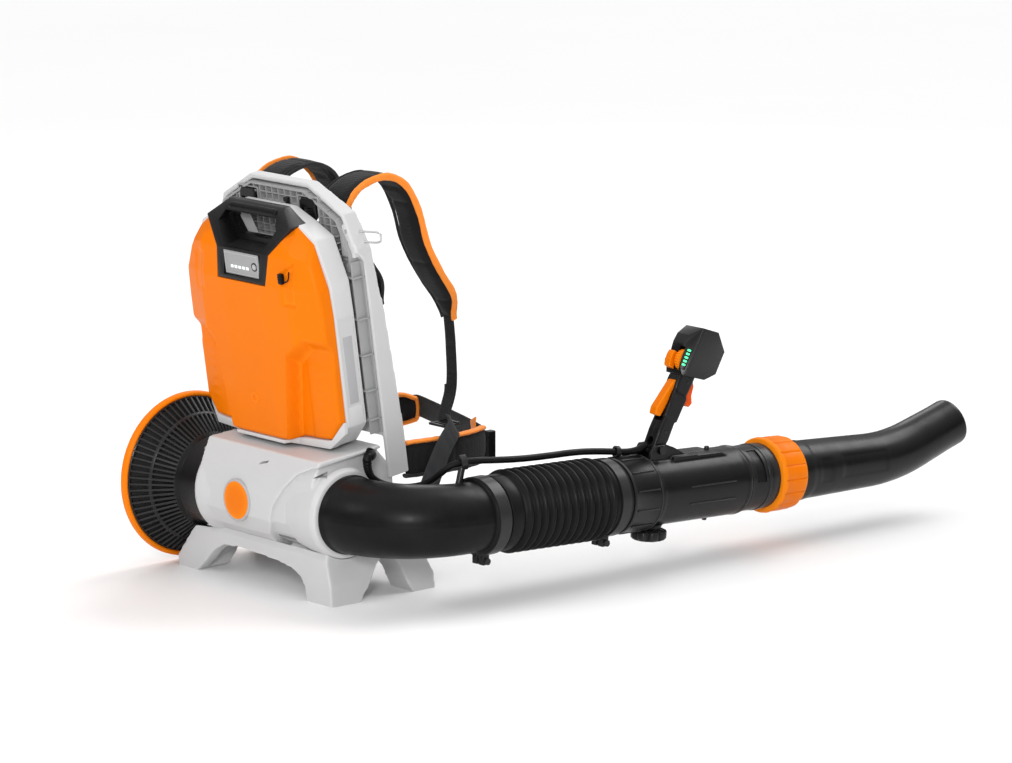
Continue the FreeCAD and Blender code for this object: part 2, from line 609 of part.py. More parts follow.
def handle_bracket():
    """Half shells clamped round the tube, with the grip's saddle on top and the knob's boss below."""
    shell = tube_pipe(47, CORE_R + PLAY, BRACKET_Y0, BRACKET_Y1)
    saddle = prism([(353.2, 150), (356, 172), (365, 183), (384, 183), (398, 177), (414, 166), (430, 155)], "yz",
                   TUBE_X - 18, TUBE_X + 18)
    boss = revolved([(-51, 0), (-51, 17), (-38, 18.5), (-38, 0)], tube_axis(KNOB_Y), Z_DIR)
    ribs = []
    for k in (4, 5, 7, 8, 10, 11, 13, 14):
        rib = box(TUBE_X - 1, 400, FAN_Z + 46.4, TUBE_X + 1, 470, FAN_Z + 48.0)
        rib.rotate(tube_axis(0), Y_DIR, k * 20)
        ribs.append(rib)
    nubs = [rod(4.0, tube_axis(452, sz * 45.5), tube_axis(452, sz * 51.5)) for sz in (-1, 1)]
    whole = joined([shell, saddle, boss] + ribs + nubs)
    bore = rod(CORE_R + PLAY, tube_axis(340), tube_axis(530))
    thread = rod(4 + PLAY, tube_axis(KNOB_Y, -70), tube_axis(KNOB_Y, -44.5))
    placed = droop(whole.cut([bore, thread]))
    fork = box(PIVOT.x - GRIP_HALF - GAP, 340, 154, PIVOT.x + GRIP_HALF + GAP, 440, 200)
    bolt = rod(3.0 + PLAY, PIVOT - X_DIR * 30, PIVOT + X_DIR * 30)
    room = rod(19.5, PIVOT - X_DIR * (GRIP_HALF + GAP), PIVOT + X_DIR * (GRIP_HALF + GAP))
    floor = droop(rod(47, tube_axis(340), tube_axis(530)))
    return placed.cut([fork.fuse(room).cut(floor), bolt])


def cable_guide():
    """Small eye on the tube that the cable lies in."""
    along = (CABLE_GUIDE - CABLE_UPPER[-2]).normalize()
    ring = rod(8.0, CABLE_GUIDE - along * 3, CABLE_GUIDE + along * 3)
    foot = rod(3.0, CABLE_GUIDE + V(1, 0, -18), CABLE_GUIDE + V(1, 0, -4))
    return ring.fuse(foot), rod(CABLE_R + 0.5, CABLE_GUIDE - along * 16, CABLE_GUIDE + along * 16)


def pivot_bolt():
    head = rod(6.0, PIVOT + X_DIR * 18.1, PIVOT + X_DIR * 21.5)
    nut = rod(5.5, PIVOT - X_DIR * 21.5, PIVOT - X_DIR * 18.1)
    return joined([rod(3.0, PIVOT - X_DIR * 20, PIVOT + X_DIR * 20), head, nut])


def clamp_knob():
    """Star knob on a threaded stud, under the tube."""
    low, high = -67.0, -51.0 - GAP
    disc = revolved([(low, 0), (low, KNOB_R - 5), (low + 4, KNOB_R), (high - 3, KNOB_R), (high, KNOB_R - 4),
                     (high, 0)], tube_axis(KNOB_Y), Z_DIR)
    notches = []
    for k in range(8):
        notch = rod(4.5, tube_axis(KNOB_Y, low - 1, KNOB_R + 2.5), tube_axis(KNOB_Y, high + 1, KNOB_R + 2.5))
        notch.rotate(tube_axis(KNOB_Y), Z_DIR, k * 45)
        notches.append(notch)
    stud = rod(4.0, tube_axis(KNOB_Y, high - 1), tube_axis(KNOB_Y, -45.5))
    return droop(disc.cut(notches).fuse(stud).removeSplitter())


# ---- grip and control head ---------------------------------------------------------------------
GRIP_SIDE = [(-9, -4), (-5, -9), (5, -9), (9, -4), (12, 18), (10, 56), (14, 102), (14, 110), (-14, 103.2),
             (-14, 96), (-10, 56), (-11, 25)]
GRIP_HALF = 12.0
TRIGGER_PIN, LEVER_PIN = (9, 103), (-9.5, 89)


def grip_block():
    body = prism(GRIP_SIDE, "yz", -GRIP_HALF, GRIP_HALF)
    inner = prism([(-6, 14), (8, 14), (7, 56), (10, 98), (-10, 98), (-6.5, 56)], "yz",
                  -GRIP_HALF + WALL, GRIP_HALF - WALL)
    bore = rod(3.0 + PLAY, V(-30, 0, 0), V(30, 0, 0))
    trigger_room = box(-7, 4, 67, 7, 16, 108.5)
    lever_room = box(-7, -22, 37, 7, -2, 96)
    return body.cut([inner, bore, trigger_room, lever_room, cable_room()] + pin_pair())


def pin_pair():
    return [rod(1.5, V(-10, y, z), V(10, y, z)) for y, z in (TRIGGER_PIN, LEVER_PIN)]


def cable_room():
    """Hole at the back of the grip's foot where the cable goes in."""
    return rod(CABLE_R + 1.2, V(0, -30, -7), V(0, 2, 15.5))


def grip_left():
    return on_grip(grip_block().common(box(-40, -60, -40, -0.01, 60, 130)))


def grip_right():
    return on_grip(grip_block().common(box(0.01, -60, -40, 40, 60, 130)))


HEAD_SIDE = [(-18.5, 112), (-14, 103.4), (25, 112.8), (40.5, 128), (40.5, 161), (17, 179.6), (-12, 173.8),
             (-22, 158), (-23.5, 146)]
DIAL_Y, DIAL_Z, DIAL_R = -10.5, 125.0, 15.0


def head_shell():
    body = prism(HEAD_SIDE, "yz", -HEAD_HALF, HEAD_HALF)
    inner = prism([(-15, 113), (-11, 107.4), (23.5, 115.8), (37.5, 129.5), (37.5, 159.5), (16, 176.2),
                   (-10.3, 171), (-19, 157), (-20.4, 146)], "yz", -HEAD_HALF + WALL, HEAD_HALF - WALL)
    dial_room = box(-1.5, -60, DIAL_Z - DIAL_R - 1, 7.5, DIAL_Y + DIAL_R + 1, DIAL_Z + DIAL_R + 1)
    rocker_room = box(-14.5, -60, 108.5, -2.5, -7, 132.5)
    return on_grip(body.cut([inner, dial_room, rocker_room]))


def dial():
    """Thumb wheel for the fan speed, on its own axle."""
    wheel = rod(DIAL_R, V(-0.9, DIAL_Y, DIAL_Z), V(6.9, DIAL_Y, DIAL_Z))
    teeth = []
    for k in range(24):
        tooth = rod(0.9, V(-2, DIAL_Y, DIAL_Z + DIAL_R), V(8, DIAL_Y, DIAL_Z + DIAL_R))
        tooth.rotate(V(0, DIAL_Y, DIAL_Z), X_DIR, k * 15)
        teeth.append(tooth)
    return on_grip(wheel.cut(teeth))


def rocker():
    """Boost button beside the wheel."""
    side = [(-25, 109.5), (-29, 120), (-27, 131.5), (-12, 131.5), (-12, 109.5)]
    return on_grip(prism(side, "yz", -13.9, -3.1))


def trigger():
    """Throttle trigger hanging from a pin under the head."""
    blade = [(6, 107), (14.5, 107), (21, 100), (23.5, 88), (29.5, 79), (27, 73), (17, 74), (13, 84), (10.5, 97),
             (6, 99)]
    y, z = TRIGGER_PIN
    return on_grip(prism(blade, "yz", -6.2, 6.2).cut(rod(1.5 + PLAY, V(-9, y, z), V(9, y, z))))


def lock_lever():
    """Hand lever at the back of the grip that has to be held down to run."""
    blade = [(-6.5, 91), (-11, 94.5), (-17, 94.5), (-21, 90), (-26, 50), (-24, 41), (-15, 42), (-12.5, 60),
             (-8, 84)]
    y, z = LEVER_PIN
    return on_grip(prism(blade, "yz", -6.2, 6.2).cut(rod(1.5 + PLAY, V(-9, y, z), V(9, y, z))))


def grip_pins():
    """Pins that the trigger and the lever turn on."""
    return on_grip(group(pin_pair()))


# ---- locking ring and nozzle -------------------------------------------------------------------
def locking_ring():
    """Bayonet ring that clamps the nozzle."""
    bore = NOZZLE_R + PLAY
    ring = revolved([(RING_Y0, bore), (RING_Y0, 50.5), (RING_Y0 + 3, 51.5), (RING_Y1 - 4, 50.5),
                     (RING_Y1, 48), (RING_Y1, bore)], tube_axis(0), Y_DIR)
    grooves = []
    for k in range(16):
        groove = box(TUBE_X - 1.2, RING_Y0 + 8, FAN_Z + 50.2, TUBE_X + 1.2, RING_Y1 + 1, FAN_Z + 56)
        groove.rotate(tube_axis(0), Y_DIR, k * 22.5)
        grooves.append(groove)
    return droop(ring.cut(grooves))


def nozzle_station(y, thickness):
    """Station of the nozzle at `y` along its unbent length, from where it starts to bend."""
    past = y - NOZZLE_BEND_Y
    turn = min(past / NOZZLE_BEND_R, radians(NOZZLE_BEND))
    rest = past - turn * NOZZLE_BEND_R
    centre = tube_axis(NOZZLE_BEND_Y + NOZZLE_BEND_R * sin(turn) + rest * cos(turn),
                       NOZZLE_BEND_R * (1 - cos(turn)) + rest * sin(turn))
    return centre, X_DIR, turn * 180 / pi, nozzle_radius(y) - thickness


def nozzle_radius(y):
    return NOZZLE_R + (TIP_R - NOZZLE_R) * (y - NOZZLE_TAPER_Y) / (NOZZLE_END - NOZZLE_TAPER_Y)


def nozzle_body(thickness, margin):
    """Straight tail, straight taper and bent end, `thickness` inside the surface."""
    r0, r1 = NOZZLE_R - thickness, nozzle_radius(NOZZLE_BEND_Y) - thickness
    straight = revolved([(NOZZLE_TAIL_Y - margin, 0), (NOZZLE_TAIL_Y - margin, r0), (NOZZLE_TAPER_Y, r0),
                         (NOZZLE_BEND_Y, r1), (NOZZLE_BEND_Y, 0)], tube_axis(0), Y_DIR)
    count = 8
    step = (NOZZLE_END - NOZZLE_BEND_Y) / count
    bent = loft_round([nozzle_station(NOZZLE_BEND_Y + step * k, thickness) for k in range(count + 1)])
    start, _, degrees, _ = nozzle_station(NOZZLE_END, 0)
    along = V(0, cos(radians(degrees)), sin(radians(degrees)))
    tip = rod(TIP_R - thickness, start, start + along * (TIP_LENGTH + margin))
    return joined([straight, bent, tip])


def nozzle():
    return droop(nozzle_body(0, 0).cut(nozzle_body(2.5, 1)))


# ---- throttle cable ------------------------------------------------------------------------------
CABLE_CLIP = V(250, 64, 186)
CABLE_GUIDE = V(264, 321, 166.94)
CABLE_LOWER = [V(163, -26, 190), V(163.5, -26.5, 177), V(164, -20, 164), V(167, -5, 153.5),
               V(180, 13, 148.5), V(202, 28, 151), V(221, 36, 161), V(235, 41, 174), V(244, 49.5, 184),
               CABLE_CLIP]
CABLE_SPLIT = V(262.33, 311, 168.3)      # on the line through the guide
CABLE_UPPER = [V(250.19, 64.46, 186.06), V(255, 76.08, 187.67), V(258, 108, 184), V(258, 156, 179),
               V(256, 206, 176), V(256, 256, 174.5), V(259.33, 293, 170.74), CABLE_SPLIT]
CABLE_TAIL = [CABLE_SPLIT, V(264.67, 325, 166.4), V(267.5, 337, 165.2), V(271, 348, 166), V(273.8, 357, 169),
              V(275, 364, 172.6)]


# ---- harness -------------------------------------------------------------------------------------
def side_points(rows, sx):
    return [V(sx * x, y, z) for x, y, z in rows]


SHOULDER_ROUTE = [(STRAP_X, -9, 500), (STRAP_X, 2, 524), (STRAP_X, 24, 539), (STRAP_X, 60, 545),
                  (STRAP_X, 92, 530), (STRAP_X, 114, 494), (STRAP_X, 129, 448), (STRAP_X, 151, 409),
                  (STRAP_X, 178, 370), (STRAP_X, 188, 338)]


def shoulder_pad(sx):
    return ribbon(side_points(SHOULDER_ROUTE, sx), X_DIR, PAD_WIDTH, PAD_THICK)


WEB_ROUTE = [(STRAP_X, 188.3, 337), (82, 186, 300), (97, 174, 250), (118, 142, 216)]
LOAD_ROUTE = [(154, 129, 208), (157, 112, 188), (157, 97, 162), (155, 85, 136)]


def strap_webbing():
    """Webbing from each shoulder pad to its adjuster, and the load straps down to the plate's foot."""
    straps = []
    for sx, out in ((-1, 8), (1, 0)):
        load_route = [(x + out, y, z) for x, y, z in LOAD_ROUTE]
        straps.append(ribbon(side_points(WEB_ROUTE, sx), X_DIR, 20, 2.0))
        straps.append(ribbon(side_points(load_route, sx), V(0, 0.5, -0.87), 30, 2.0))
    return group(straps)


def harness_buckles():
    """Strap adjusters, and the side-release buckle with its pocket at the right pad's tip."""
    adjusters = [joined([box(sx * 132 - 16, 118, 208, sx * 132 + 16, 146, 212),
                         box(sx * 132 - 16, 140, 208, sx * 132 + 16, 146, 214)]) for sx in (-1, 1)]
    pocket = box(100, 213, 148, 128, 226, 188).cut(box(99, 217, 156, 118, 230, 189))
    return group(adjusters + [pocket])


HIP_RIGHT = [(136, 60), (139, 84), (142, 110), (142, 140), (138, 170), (130, 195), (122, 208)]
HIP_LEFT = [(-136, 60), (-139, 90), (-146, 130), (-148, 180), (-142, 230), (-128, 272), (-112, 292)]


def hip_pad(route, tall):
    return ribbon([V(x, y, 172) for x, y in route], Z_DIR, tall, 13.0)


def hip_belt():
    """Closed belt webbing between the two hip pads."""
    route = [V(-110.4, 292.2, 177), V(-60, 277, 177), V(0, 258, 177), V(60, 238, 177), V(104, 221, 177)]
    return ribbon(route, Z_DIR, 30, 2.2)


def back_pad():
    """Padding on the wearer's side of the plate."""
    pad = prism(mirrored([(66, 478), (90, 452), (98, 300), (104, 200)]), "xz", 60, 82)
    cut = prism([(59, 510), (62, 440), (70, 330), (79, 200), (79, 190), (40, 190), (40, 510)], "yz", -150, 150)
    return lean(pad.cut(cut))


# ---- nodes -----------------------------------------------------------------------------------------
NODES = {
    "base_frame": base_frame, "fan_housing_front": fan_housing_front, "fan_housing_rear": fan_housing_rear,
    "fan_duct": fan_duct, "motor_housing": motor_housing, "motor_bearings": motor_bearings,
    "motor_rotor": motor_rotor, "impeller": impeller, "outlet_collar": outlet_collar, "badge": badge,
    "intake_cage": intake_cage, "intake_rim": intake_rim, "intake_grille": intake_grille,
    "controller": controller, "housing_screws": housing_screws,
    "back_plate": back_plate, "plate_ribs": plate_ribs, "plate_hooks": plate_hooks,
    "latch_pins": latch_pins, "latch_left": lambda: latch(-1), "latch_right": lambda: latch(1),
    "battery_contacts": battery_contacts, "cable_gland": cable_gland,
    "battery_shell": battery_shell, "battery_cover": battery_cover, "battery_frame": battery_frame,
    "battery_display": battery_display, "battery_button": battery_button, "battery_cells": battery_cells,
    "battery_port_cap": battery_port_cap,
    "elbow": elbow, "clamp_rear": clamp_rear, "cable_clip": cable_clip,
    "bellows": bellows, "clamp_front": clamp_front, "blower_tube": blower_tube,
    "handle_bracket": handle_bracket, "pivot_bolt": pivot_bolt, "clamp_knob": clamp_knob,
    "grip_left": grip_left, "grip_right": grip_right, "head_shell": head_shell,
    "dial": dial, "rocker": rocker, "trigger": trigger, "lock_lever": lock_lever, "grip_pins": grip_pins,
    "locking_ring": locking_ring, "nozzle": nozzle,
    "cable_lower": lambda: cord("cable_lower", CABLE_LOWER, CABLE_R),
    "cable_upper": lambda: cord("cable_upper", CABLE_UPPER, CABLE_R),
    "cable_tail": lambda: cord("cable_tail", CABLE_TAIL, CABLE_R),
    "back_pad": back_pad, "shoulder_pad_left": lambda: shoulder_pad(-1),
    "shoulder_pad_right": lambda: shoulder_pad(1), "strap_webbing": strap_webbing,
    "harness_buckles": harness_buckles,
    "hip_pad_left": lambda: hip_pad(HIP_LEFT, 46), "hip_pad_right": lambda: hip_pad(HIP_RIGHT, 50),
    "hip_belt": hip_belt,
}

os.makedirs("parts", exist_ok=True)
for node, make in NODES.items():
    shape = make()
    for solid in shape.Solids:
        if not solid.isValid() or not solid.isClosed() or solid.Volume <= 0:
            print("BAD SOLID", node, solid.isValid(), solid.isClosed(), round(solid.Volume, 1))
    if not shape.Solids:
        print("NO SOLID", node)
    shape.exportStep("parts/%s.step" % node)
print(len(NODES), "nodes")
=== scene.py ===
from math import atan2, cos, degrees, exp, hypot, pi, radians, sin, sqrt

import bmesh
import bpy
from mathutils import Matrix, Vector
from mathutils.kdtree import KDTree


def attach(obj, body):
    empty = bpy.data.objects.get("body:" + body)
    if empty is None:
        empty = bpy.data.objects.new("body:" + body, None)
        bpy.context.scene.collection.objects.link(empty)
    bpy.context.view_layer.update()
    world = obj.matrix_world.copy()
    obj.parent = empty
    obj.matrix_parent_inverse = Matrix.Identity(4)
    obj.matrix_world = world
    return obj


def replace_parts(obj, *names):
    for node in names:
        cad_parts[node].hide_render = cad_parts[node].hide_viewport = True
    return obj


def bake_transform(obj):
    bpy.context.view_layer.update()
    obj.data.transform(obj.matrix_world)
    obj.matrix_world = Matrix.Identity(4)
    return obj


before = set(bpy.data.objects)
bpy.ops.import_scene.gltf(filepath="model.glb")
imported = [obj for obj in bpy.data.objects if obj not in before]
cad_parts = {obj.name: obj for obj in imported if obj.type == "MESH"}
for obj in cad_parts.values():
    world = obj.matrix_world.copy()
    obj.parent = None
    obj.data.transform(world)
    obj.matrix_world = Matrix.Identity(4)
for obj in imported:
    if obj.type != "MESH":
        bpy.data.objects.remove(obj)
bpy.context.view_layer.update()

# Battery backpack leaf blower. Shapes are written in millimetres in four spaces, and every
# space's matrix turns them into the frame's metres.
MM = 0.001
LEAN = radians(8.0)                    # battery and back plate lean back
DROOP = radians(-2.1)                  # blow tube hangs below the level
GRIP_TILT = radians(-30.0)             # the grip leans forward on its bolt
TUBE_X, BELLOWS_Y0, FAN_Y, FAN_Z = 275.0, 108.0, -52.0, 118.0
PIVOT = Vector((TUBE_X, 376.0, 166.0))

RIGHT, FORWARD, UP = Vector((1, 0, 0)), Vector((0, 1, 0)), Vector((0, 0, 1))

ROW = Matrix.Scale(MM, 4)
LEANING = ROW @ Matrix.Rotation(LEAN, 4, "X")
HINGE = Matrix.Translation((TUBE_X, BELLOWS_Y0, FAN_Z))
DROOPING = ROW @ HINGE @ Matrix.Rotation(DROOP, 4, "X") @ HINGE.inverted()
GRIPPED = ROW @ Matrix.Translation(PIVOT) @ Matrix.Rotation(GRIP_TILT, 4, "X")

FAN_AXIS = (Vector((0, FAN_Y, FAN_Z)), RIGHT, UP)
TUBE_AXIS = (Vector((TUBE_X, 0, FAN_Z)), FORWARD, UP)


# ---- mesh helpers -----------------------------------------------------------------------------
def smooth_step(t):
    """0 up to t = 0, 1 from t = 1, and a soft rise between."""
    t = min(1.0, max(0.0, t))
    return t * t * (3 - 2 * t)


def between(x, rows):
    """Straight interpolation in rows of (x, value)."""
    for (x0, v0), (x1, v1) in zip(rows, rows[1:]):
        if x <= x1:
            return v0 + (v1 - v0) * min(1.0, max(0.0, (x - x0) / (x1 - x0)))
    return rows[-1][1]


def mirrored(outline):
    """A right half with its mirror image added."""
    return list(outline) + [(-a, b) for a, b in reversed(outline)]


def shade(mesh, sharp):
    """Smooth faces with sharp edges over an angle."""
    mesh.shade_smooth()
    mesh.set_sharp_from_angle(angle=radians(sharp))


def piece(name, mesh, material, body, sharp=35.0):
    """A finished mesh becomes a piece that rides on a body and has a material."""
    mesh.name = name
    mesh.materials.clear()
    mesh.materials.append(material)
    shade(mesh, sharp)
    thing = bpy.data.objects.new(name, mesh)
    bpy.context.scene.collection.objects.link(thing)
    if body:
        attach(thing, body)
    return thing


def mesh_of(bm, space=ROW):
    """The bmesh as a mesh in metres, with its normals outward."""
    bmesh.ops.remove_doubles(bm, verts=bm.verts, dist=1e-4)
    bmesh.ops.recalc_face_normals(bm, faces=bm.faces)
    mesh = bpy.data.meshes.new("part")
    bm.to_mesh(mesh)
    bm.free()
    mesh.transform(space)
    return mesh


def merged(meshes):
    """Several meshes, already in metres, in one."""
    bm = bmesh.new()
    for mesh in meshes:
        bm.from_mesh(mesh)
    out = bpy.data.meshes.new("part")
    bm.to_mesh(out)
    bm.free()
    return out


def edge_angle(edge):
    """Turn between an edge's two faces; 0 at an open edge."""
    return edge.calc_face_angle(0.0) if len(edge.link_faces) == 2 else 0.0


def round_edges(bm, by, segments=3, over=28.0):
    """Rounds every edge that turns by more than `over` degrees."""
    bmesh.ops.remove_doubles(bm, verts=bm.verts, dist=1e-3)
    bmesh.ops.recalc_face_normals(bm, faces=bm.faces)
    edges = [e for e in bm.edges if edge_angle(e) > radians(over)]
    if by > 0 and edges:
        bmesh.ops.bevel(bm, geom=edges, offset=by, segments=segments, profile=0.5,
                        affect="EDGES", clamp_overlap=True)


def rectangle(a0, b0, a1, b1):
    """Outline from two opposite corners."""
    return [(a0, b0), (a1, b0), (a1, b1), (a0, b1)]


def prism_bm(outline, plane, low, high):
    """A closed outline in the yz, xz or xy plane, extruded from low to high."""
    order = {"yz": (2, 0, 1), "xz": (0, 2, 1), "xy": (0, 1, 2)}[plane]
    bm = bmesh.new()
    ends = [[bm.verts.new([(a, b, c)[k] for k in order]) for a, b in outline] for c in (low, high)]
    bm.faces.new(ends[0])
    bm.faces.new(ends[1])
    count = len(outline)
    for i in range(count):
        j = (i + 1) % count
        bm.faces.new((ends[0][i], ends[0][j], ends[1][j], ends[1][i]))
    bmesh.ops.recalc_face_normals(bm, faces=bm.faces)
    return bm


def prism(outline, plane, low, high, by, space=ROW):
    """An extruded outline with rounded edges, as a mesh."""
    bm = prism_bm(outline, plane, low, high)
    round_edges(bm, by)
    return mesh_of(bm, space)


def block(x0, y0, z0, x1, y1, z1, by, space=ROW):
    """A box with rounded edges, as a mesh."""
    return prism(rectangle(x0, y0, x1, y1), "xy", z0, z1, by, space)


def carve(bm, others, operation="DIFFERENCE"):
    """One boolean after another, in millimetres, with bmeshes as the tools."""
    scene = bpy.context.scene.collection
    base_mesh = bpy.data.meshes.new("base")
    bm.to_mesh(base_mesh)
    bm.free()
    base = bpy.data.objects.new("base", base_mesh)
    scene.objects.link(base)
    tools = []
    for other in others:
        tool_mesh = bpy.data.meshes.new("tool")
        other.to_mesh(tool_mesh)
        other.free()
        tool = bpy.data.objects.new("tool", tool_mesh)
        scene.objects.link(tool)
        modifier = base.modifiers.new("cut", "BOOLEAN")
        modifier.operation = operation
        modifier.solver = "EXACT"
        modifier.object = tool
        tools.append(tool)
    bpy.context.view_layer.update()
    graph = bpy.context.evaluated_depsgraph_get()
    result = bmesh.new()
    made = bpy.data.meshes.new_from_object(base.evaluated_get(graph))
    result.from_mesh(made)
    for thing in [base] + tools:
        bpy.data.objects.remove(thing)
    return result


def frame_for(direction, up):
    """Two directions square to the first."""
    side = direction.cross(up).normalized()
    return side, side.cross(direction).normalized()


def lathe_bm(profile, axis, count, wave=None, closed=True):
    """A profile of (distance along, radius) turned about an axis of (origin, direction, up)."""
    origin, direction, up = axis
    side, top = frame_for(direction, up)
    bm = bmesh.new()
    rings = []
    for along, radius in profile:
        ring = []
        for k in range(count):
            turn = 2 * pi * k / count
            r = radius + (wave(along, turn) if wave else 0.0)
            ring.append(bm.verts.new(origin + direction * along + (side * sin(turn) + top * cos(turn)) * r))
        rings.append(ring)
    pairs = list(zip(rings, rings[1:])) + ([(rings[-1], rings[0])] if closed else [])
    for a, b in pairs:
        for k in range(count):
            j = (k + 1) % count
            bm.faces.new((a[k], a[j], b[j], b[k]))
    if not closed:
        bm.faces.new(rings[0])
        bm.faces.new(rings[-1])
    return bm


def lathe(profile, axis, count, wave=None, closed=True, space=ROW):
    """A turned profile, as a mesh."""
    return mesh_of(lathe_bm(profile, axis, count, wave, closed), space)


def rounded_profile(points, by, steps=3):
    """A closed profile with its corners rounded by up to `by`."""
    out = []
    count = len(points)
    for i in range(count):
        before, here, after = (Vector(points[(i + s) % count]) for s in (-1, 0, 1))
        reach = min(by, 0.45 * (before - here).length, 0.45 * (after - here).length)
        a = here + (before - here).normalized() * reach
        b = here + (after - here).normalized() * reach
        for k in range(steps + 1):
            t = k / steps
            out.append(tuple(a * (1 - t) ** 2 + here * 2 * t * (1 - t) + b * t ** 2))
    return out


def rod_bm(radius, start, end, count, taper=None):
    """A round bar between two points; taper is its radius at the end."""
    start, end = Vector(start), Vector(end)
    direction = (end - start).normalized()
    up = UP if abs(direction.z) < 0.9 else RIGHT
    length = (end - start).length
    last = radius if taper is None else taper
    return lathe_bm([(0, radius), (length, last)], (start, direction, up), count, None, False)


def rod(radius, start, end, by, count, space, taper=None):
    """A round bar with rounded ends, as a mesh."""
    bm = rod_bm(radius, start, end, count, taper)
    round_edges(bm, by, 2, 50)
    return mesh_of(bm, space)


def sweep(points, section, normals=None):
    """A section of (across, out) pairs, or a function of the share along, carried along points."""
    bm = bmesh.new()
    rings = []
    up = None
    total = len(points)
    for i, here in enumerate(points):
        ahead = (points[min(i + 1, total - 1)] - points[max(i - 1, 0)]).normalized()
        if normals:
            up = normals[i]
        elif up is None:
            up = UP if abs(ahead.z) < 0.9 else RIGHT
        up = (up - ahead * up.dot(ahead)).normalized()
        side = ahead.cross(up)
        rows = section(i / (total - 1)) if callable(section) else section
        rings.append([bm.verts.new(here + side * a + up * b) for a, b in rows])
    for a, b in zip(rings, rings[1:]):
        for k in range(len(a)):
            j = (k + 1) % len(a)
            bm.faces.new((a[k], a[j], b[j], b[k]))
    bm.faces.new(rings[0])
    bm.faces.new(rings[-1])
    return bm


def round_section(radius, count):
    """A circle of (across, out) pairs."""
    return [(radius * cos(2 * pi * k / count), radius * sin(2 * pi * k / count)) for k in range(count)]


def strap_section(width, thick):
    """Rectangle with rounded long edges."""
    w, t = width / 2, thick / 2
    right = [(w - t * 0.6, -t), (w, -t * 0.4), (w, t * 0.4), (w - t * 0.6, t)]
    inner = [(w * s, t) for s in (0.5, 0.0, -0.5)]
    left = [(-a, -b) for a, b in right]
    return right + inner + left + [(-a, -b) for a, b in inner]


def spline(points, steps):
    """Smooth line through the points."""
    rows = [Vector(p) for p in points]
    rows = [rows[0] * 2 - rows[1]] + rows + [rows[-1] * 2 - rows[-2]]
    out = []
    for p0, p1, p2, p3 in zip(rows, rows[1:], rows[2:], rows[3:]):
        for k in range(steps):
            t = k / steps
            out.append(0.5 * (2 * p1 + (p2 - p0) * t + (2 * p0 - 5 * p1 + 4 * p2 - p3) * t ** 2
                              + (3 * p1 - p0 - 3 * p2 + p3) * t ** 3))
    out.append(rows[-2])
    return out


# ---- materials ----------------------------------------------------------------------------------
MIX_COLOUR = {"A": 6, "B": 7, "Result": 2}     # a Mix node's sockets for colours


class Nodes:
    """Short ways to add and join shader nodes."""

    def __init__(self, name):
        self.material = bpy.data.materials.new(name)
        self.material.use_nodes = True
        self.tree = self.material.node_tree
        self.shader = self.tree.nodes["Principled BSDF"]
        self.place = self.add("ShaderNodeTexCoord").outputs["Object"]

    def add(self, kind, **settings):
        node = self.tree.nodes.new(kind)
        for key, value in settings.items():
            setattr(node, key, value)
        return node

    def link(self, output, socket):
        self.tree.links.new(output, socket)

    def noise(self, scale, detail, rough=0.5, stretch=(1, 1, 1)):
        mapping = self.add("ShaderNodeMapping")
        mapping.inputs["Scale"].default_value = stretch
        self.link(self.place, mapping.inputs["Vector"])
        texture = self.add("ShaderNodeTexNoise")
        texture.inputs["Scale"].default_value = scale
        texture.inputs["Detail"].default_value = detail
        texture.inputs["Roughness"].default_value = rough
        self.link(mapping.outputs["Vector"], texture.inputs["Vector"])
        return texture.outputs["Fac"]

    def ramp(self, value, low, high, out_low=0.0, out_high=1.0):
        node = self.add("ShaderNodeMapRange")
        for key, number in (("From Min", low), ("From Max", high), ("To Min", out_low),
                            ("To Max", out_high)):
            node.inputs[key].default_value = number
        self.link(value, node.inputs["Value"])
        return node.outputs["Result"]

    def mix(self, factor, a, b):
        node = self.add("ShaderNodeMix", data_type="RGBA")
        for key, colour in (("A", a), ("B", b)):
            socket = node.inputs[MIX_COLOUR[key]]
            if isinstance(colour, tuple):
                socket.default_value = colour + (1.0,)
            else:
                self.link(colour, socket)
        if isinstance(factor, float):
            node.inputs[0].default_value = factor
        else:
            self.link(factor, node.inputs[0])
        return node.outputs[MIX_COLOUR["Result"]]

    def sums(self, operation, a, b):
        node = self.add("ShaderNodeMath", operation=operation)
        for i, value in enumerate((a, b)):
            if isinstance(value, (int, float)):
                node.inputs[i].default_value = value
            else:
                self.link(value, node.inputs[i])
        return node.outputs[0]

    def bump(self, height, strength, distance, below=None):
        node = self.add("ShaderNodeBump")
        node.inputs["Strength"].default_value = strength
        node.inputs["Distance"].default_value = distance
        self.link(height, node.inputs["Height"])
        if below is not None:
            self.link(below, node.inputs["Normal"])
        return node.outputs["Normal"]

    def edges(self):
        """Painted highlight mask: 1 along convex edges, 0 elsewhere."""
        return self.ramp(self.add("ShaderNodeNewGeometry").outputs["Pointiness"], 0.505, 0.56)

    def set(self, **values):
        for key, value in values.items():
            self.shader.inputs[key.replace("_", " ")].default_value = value


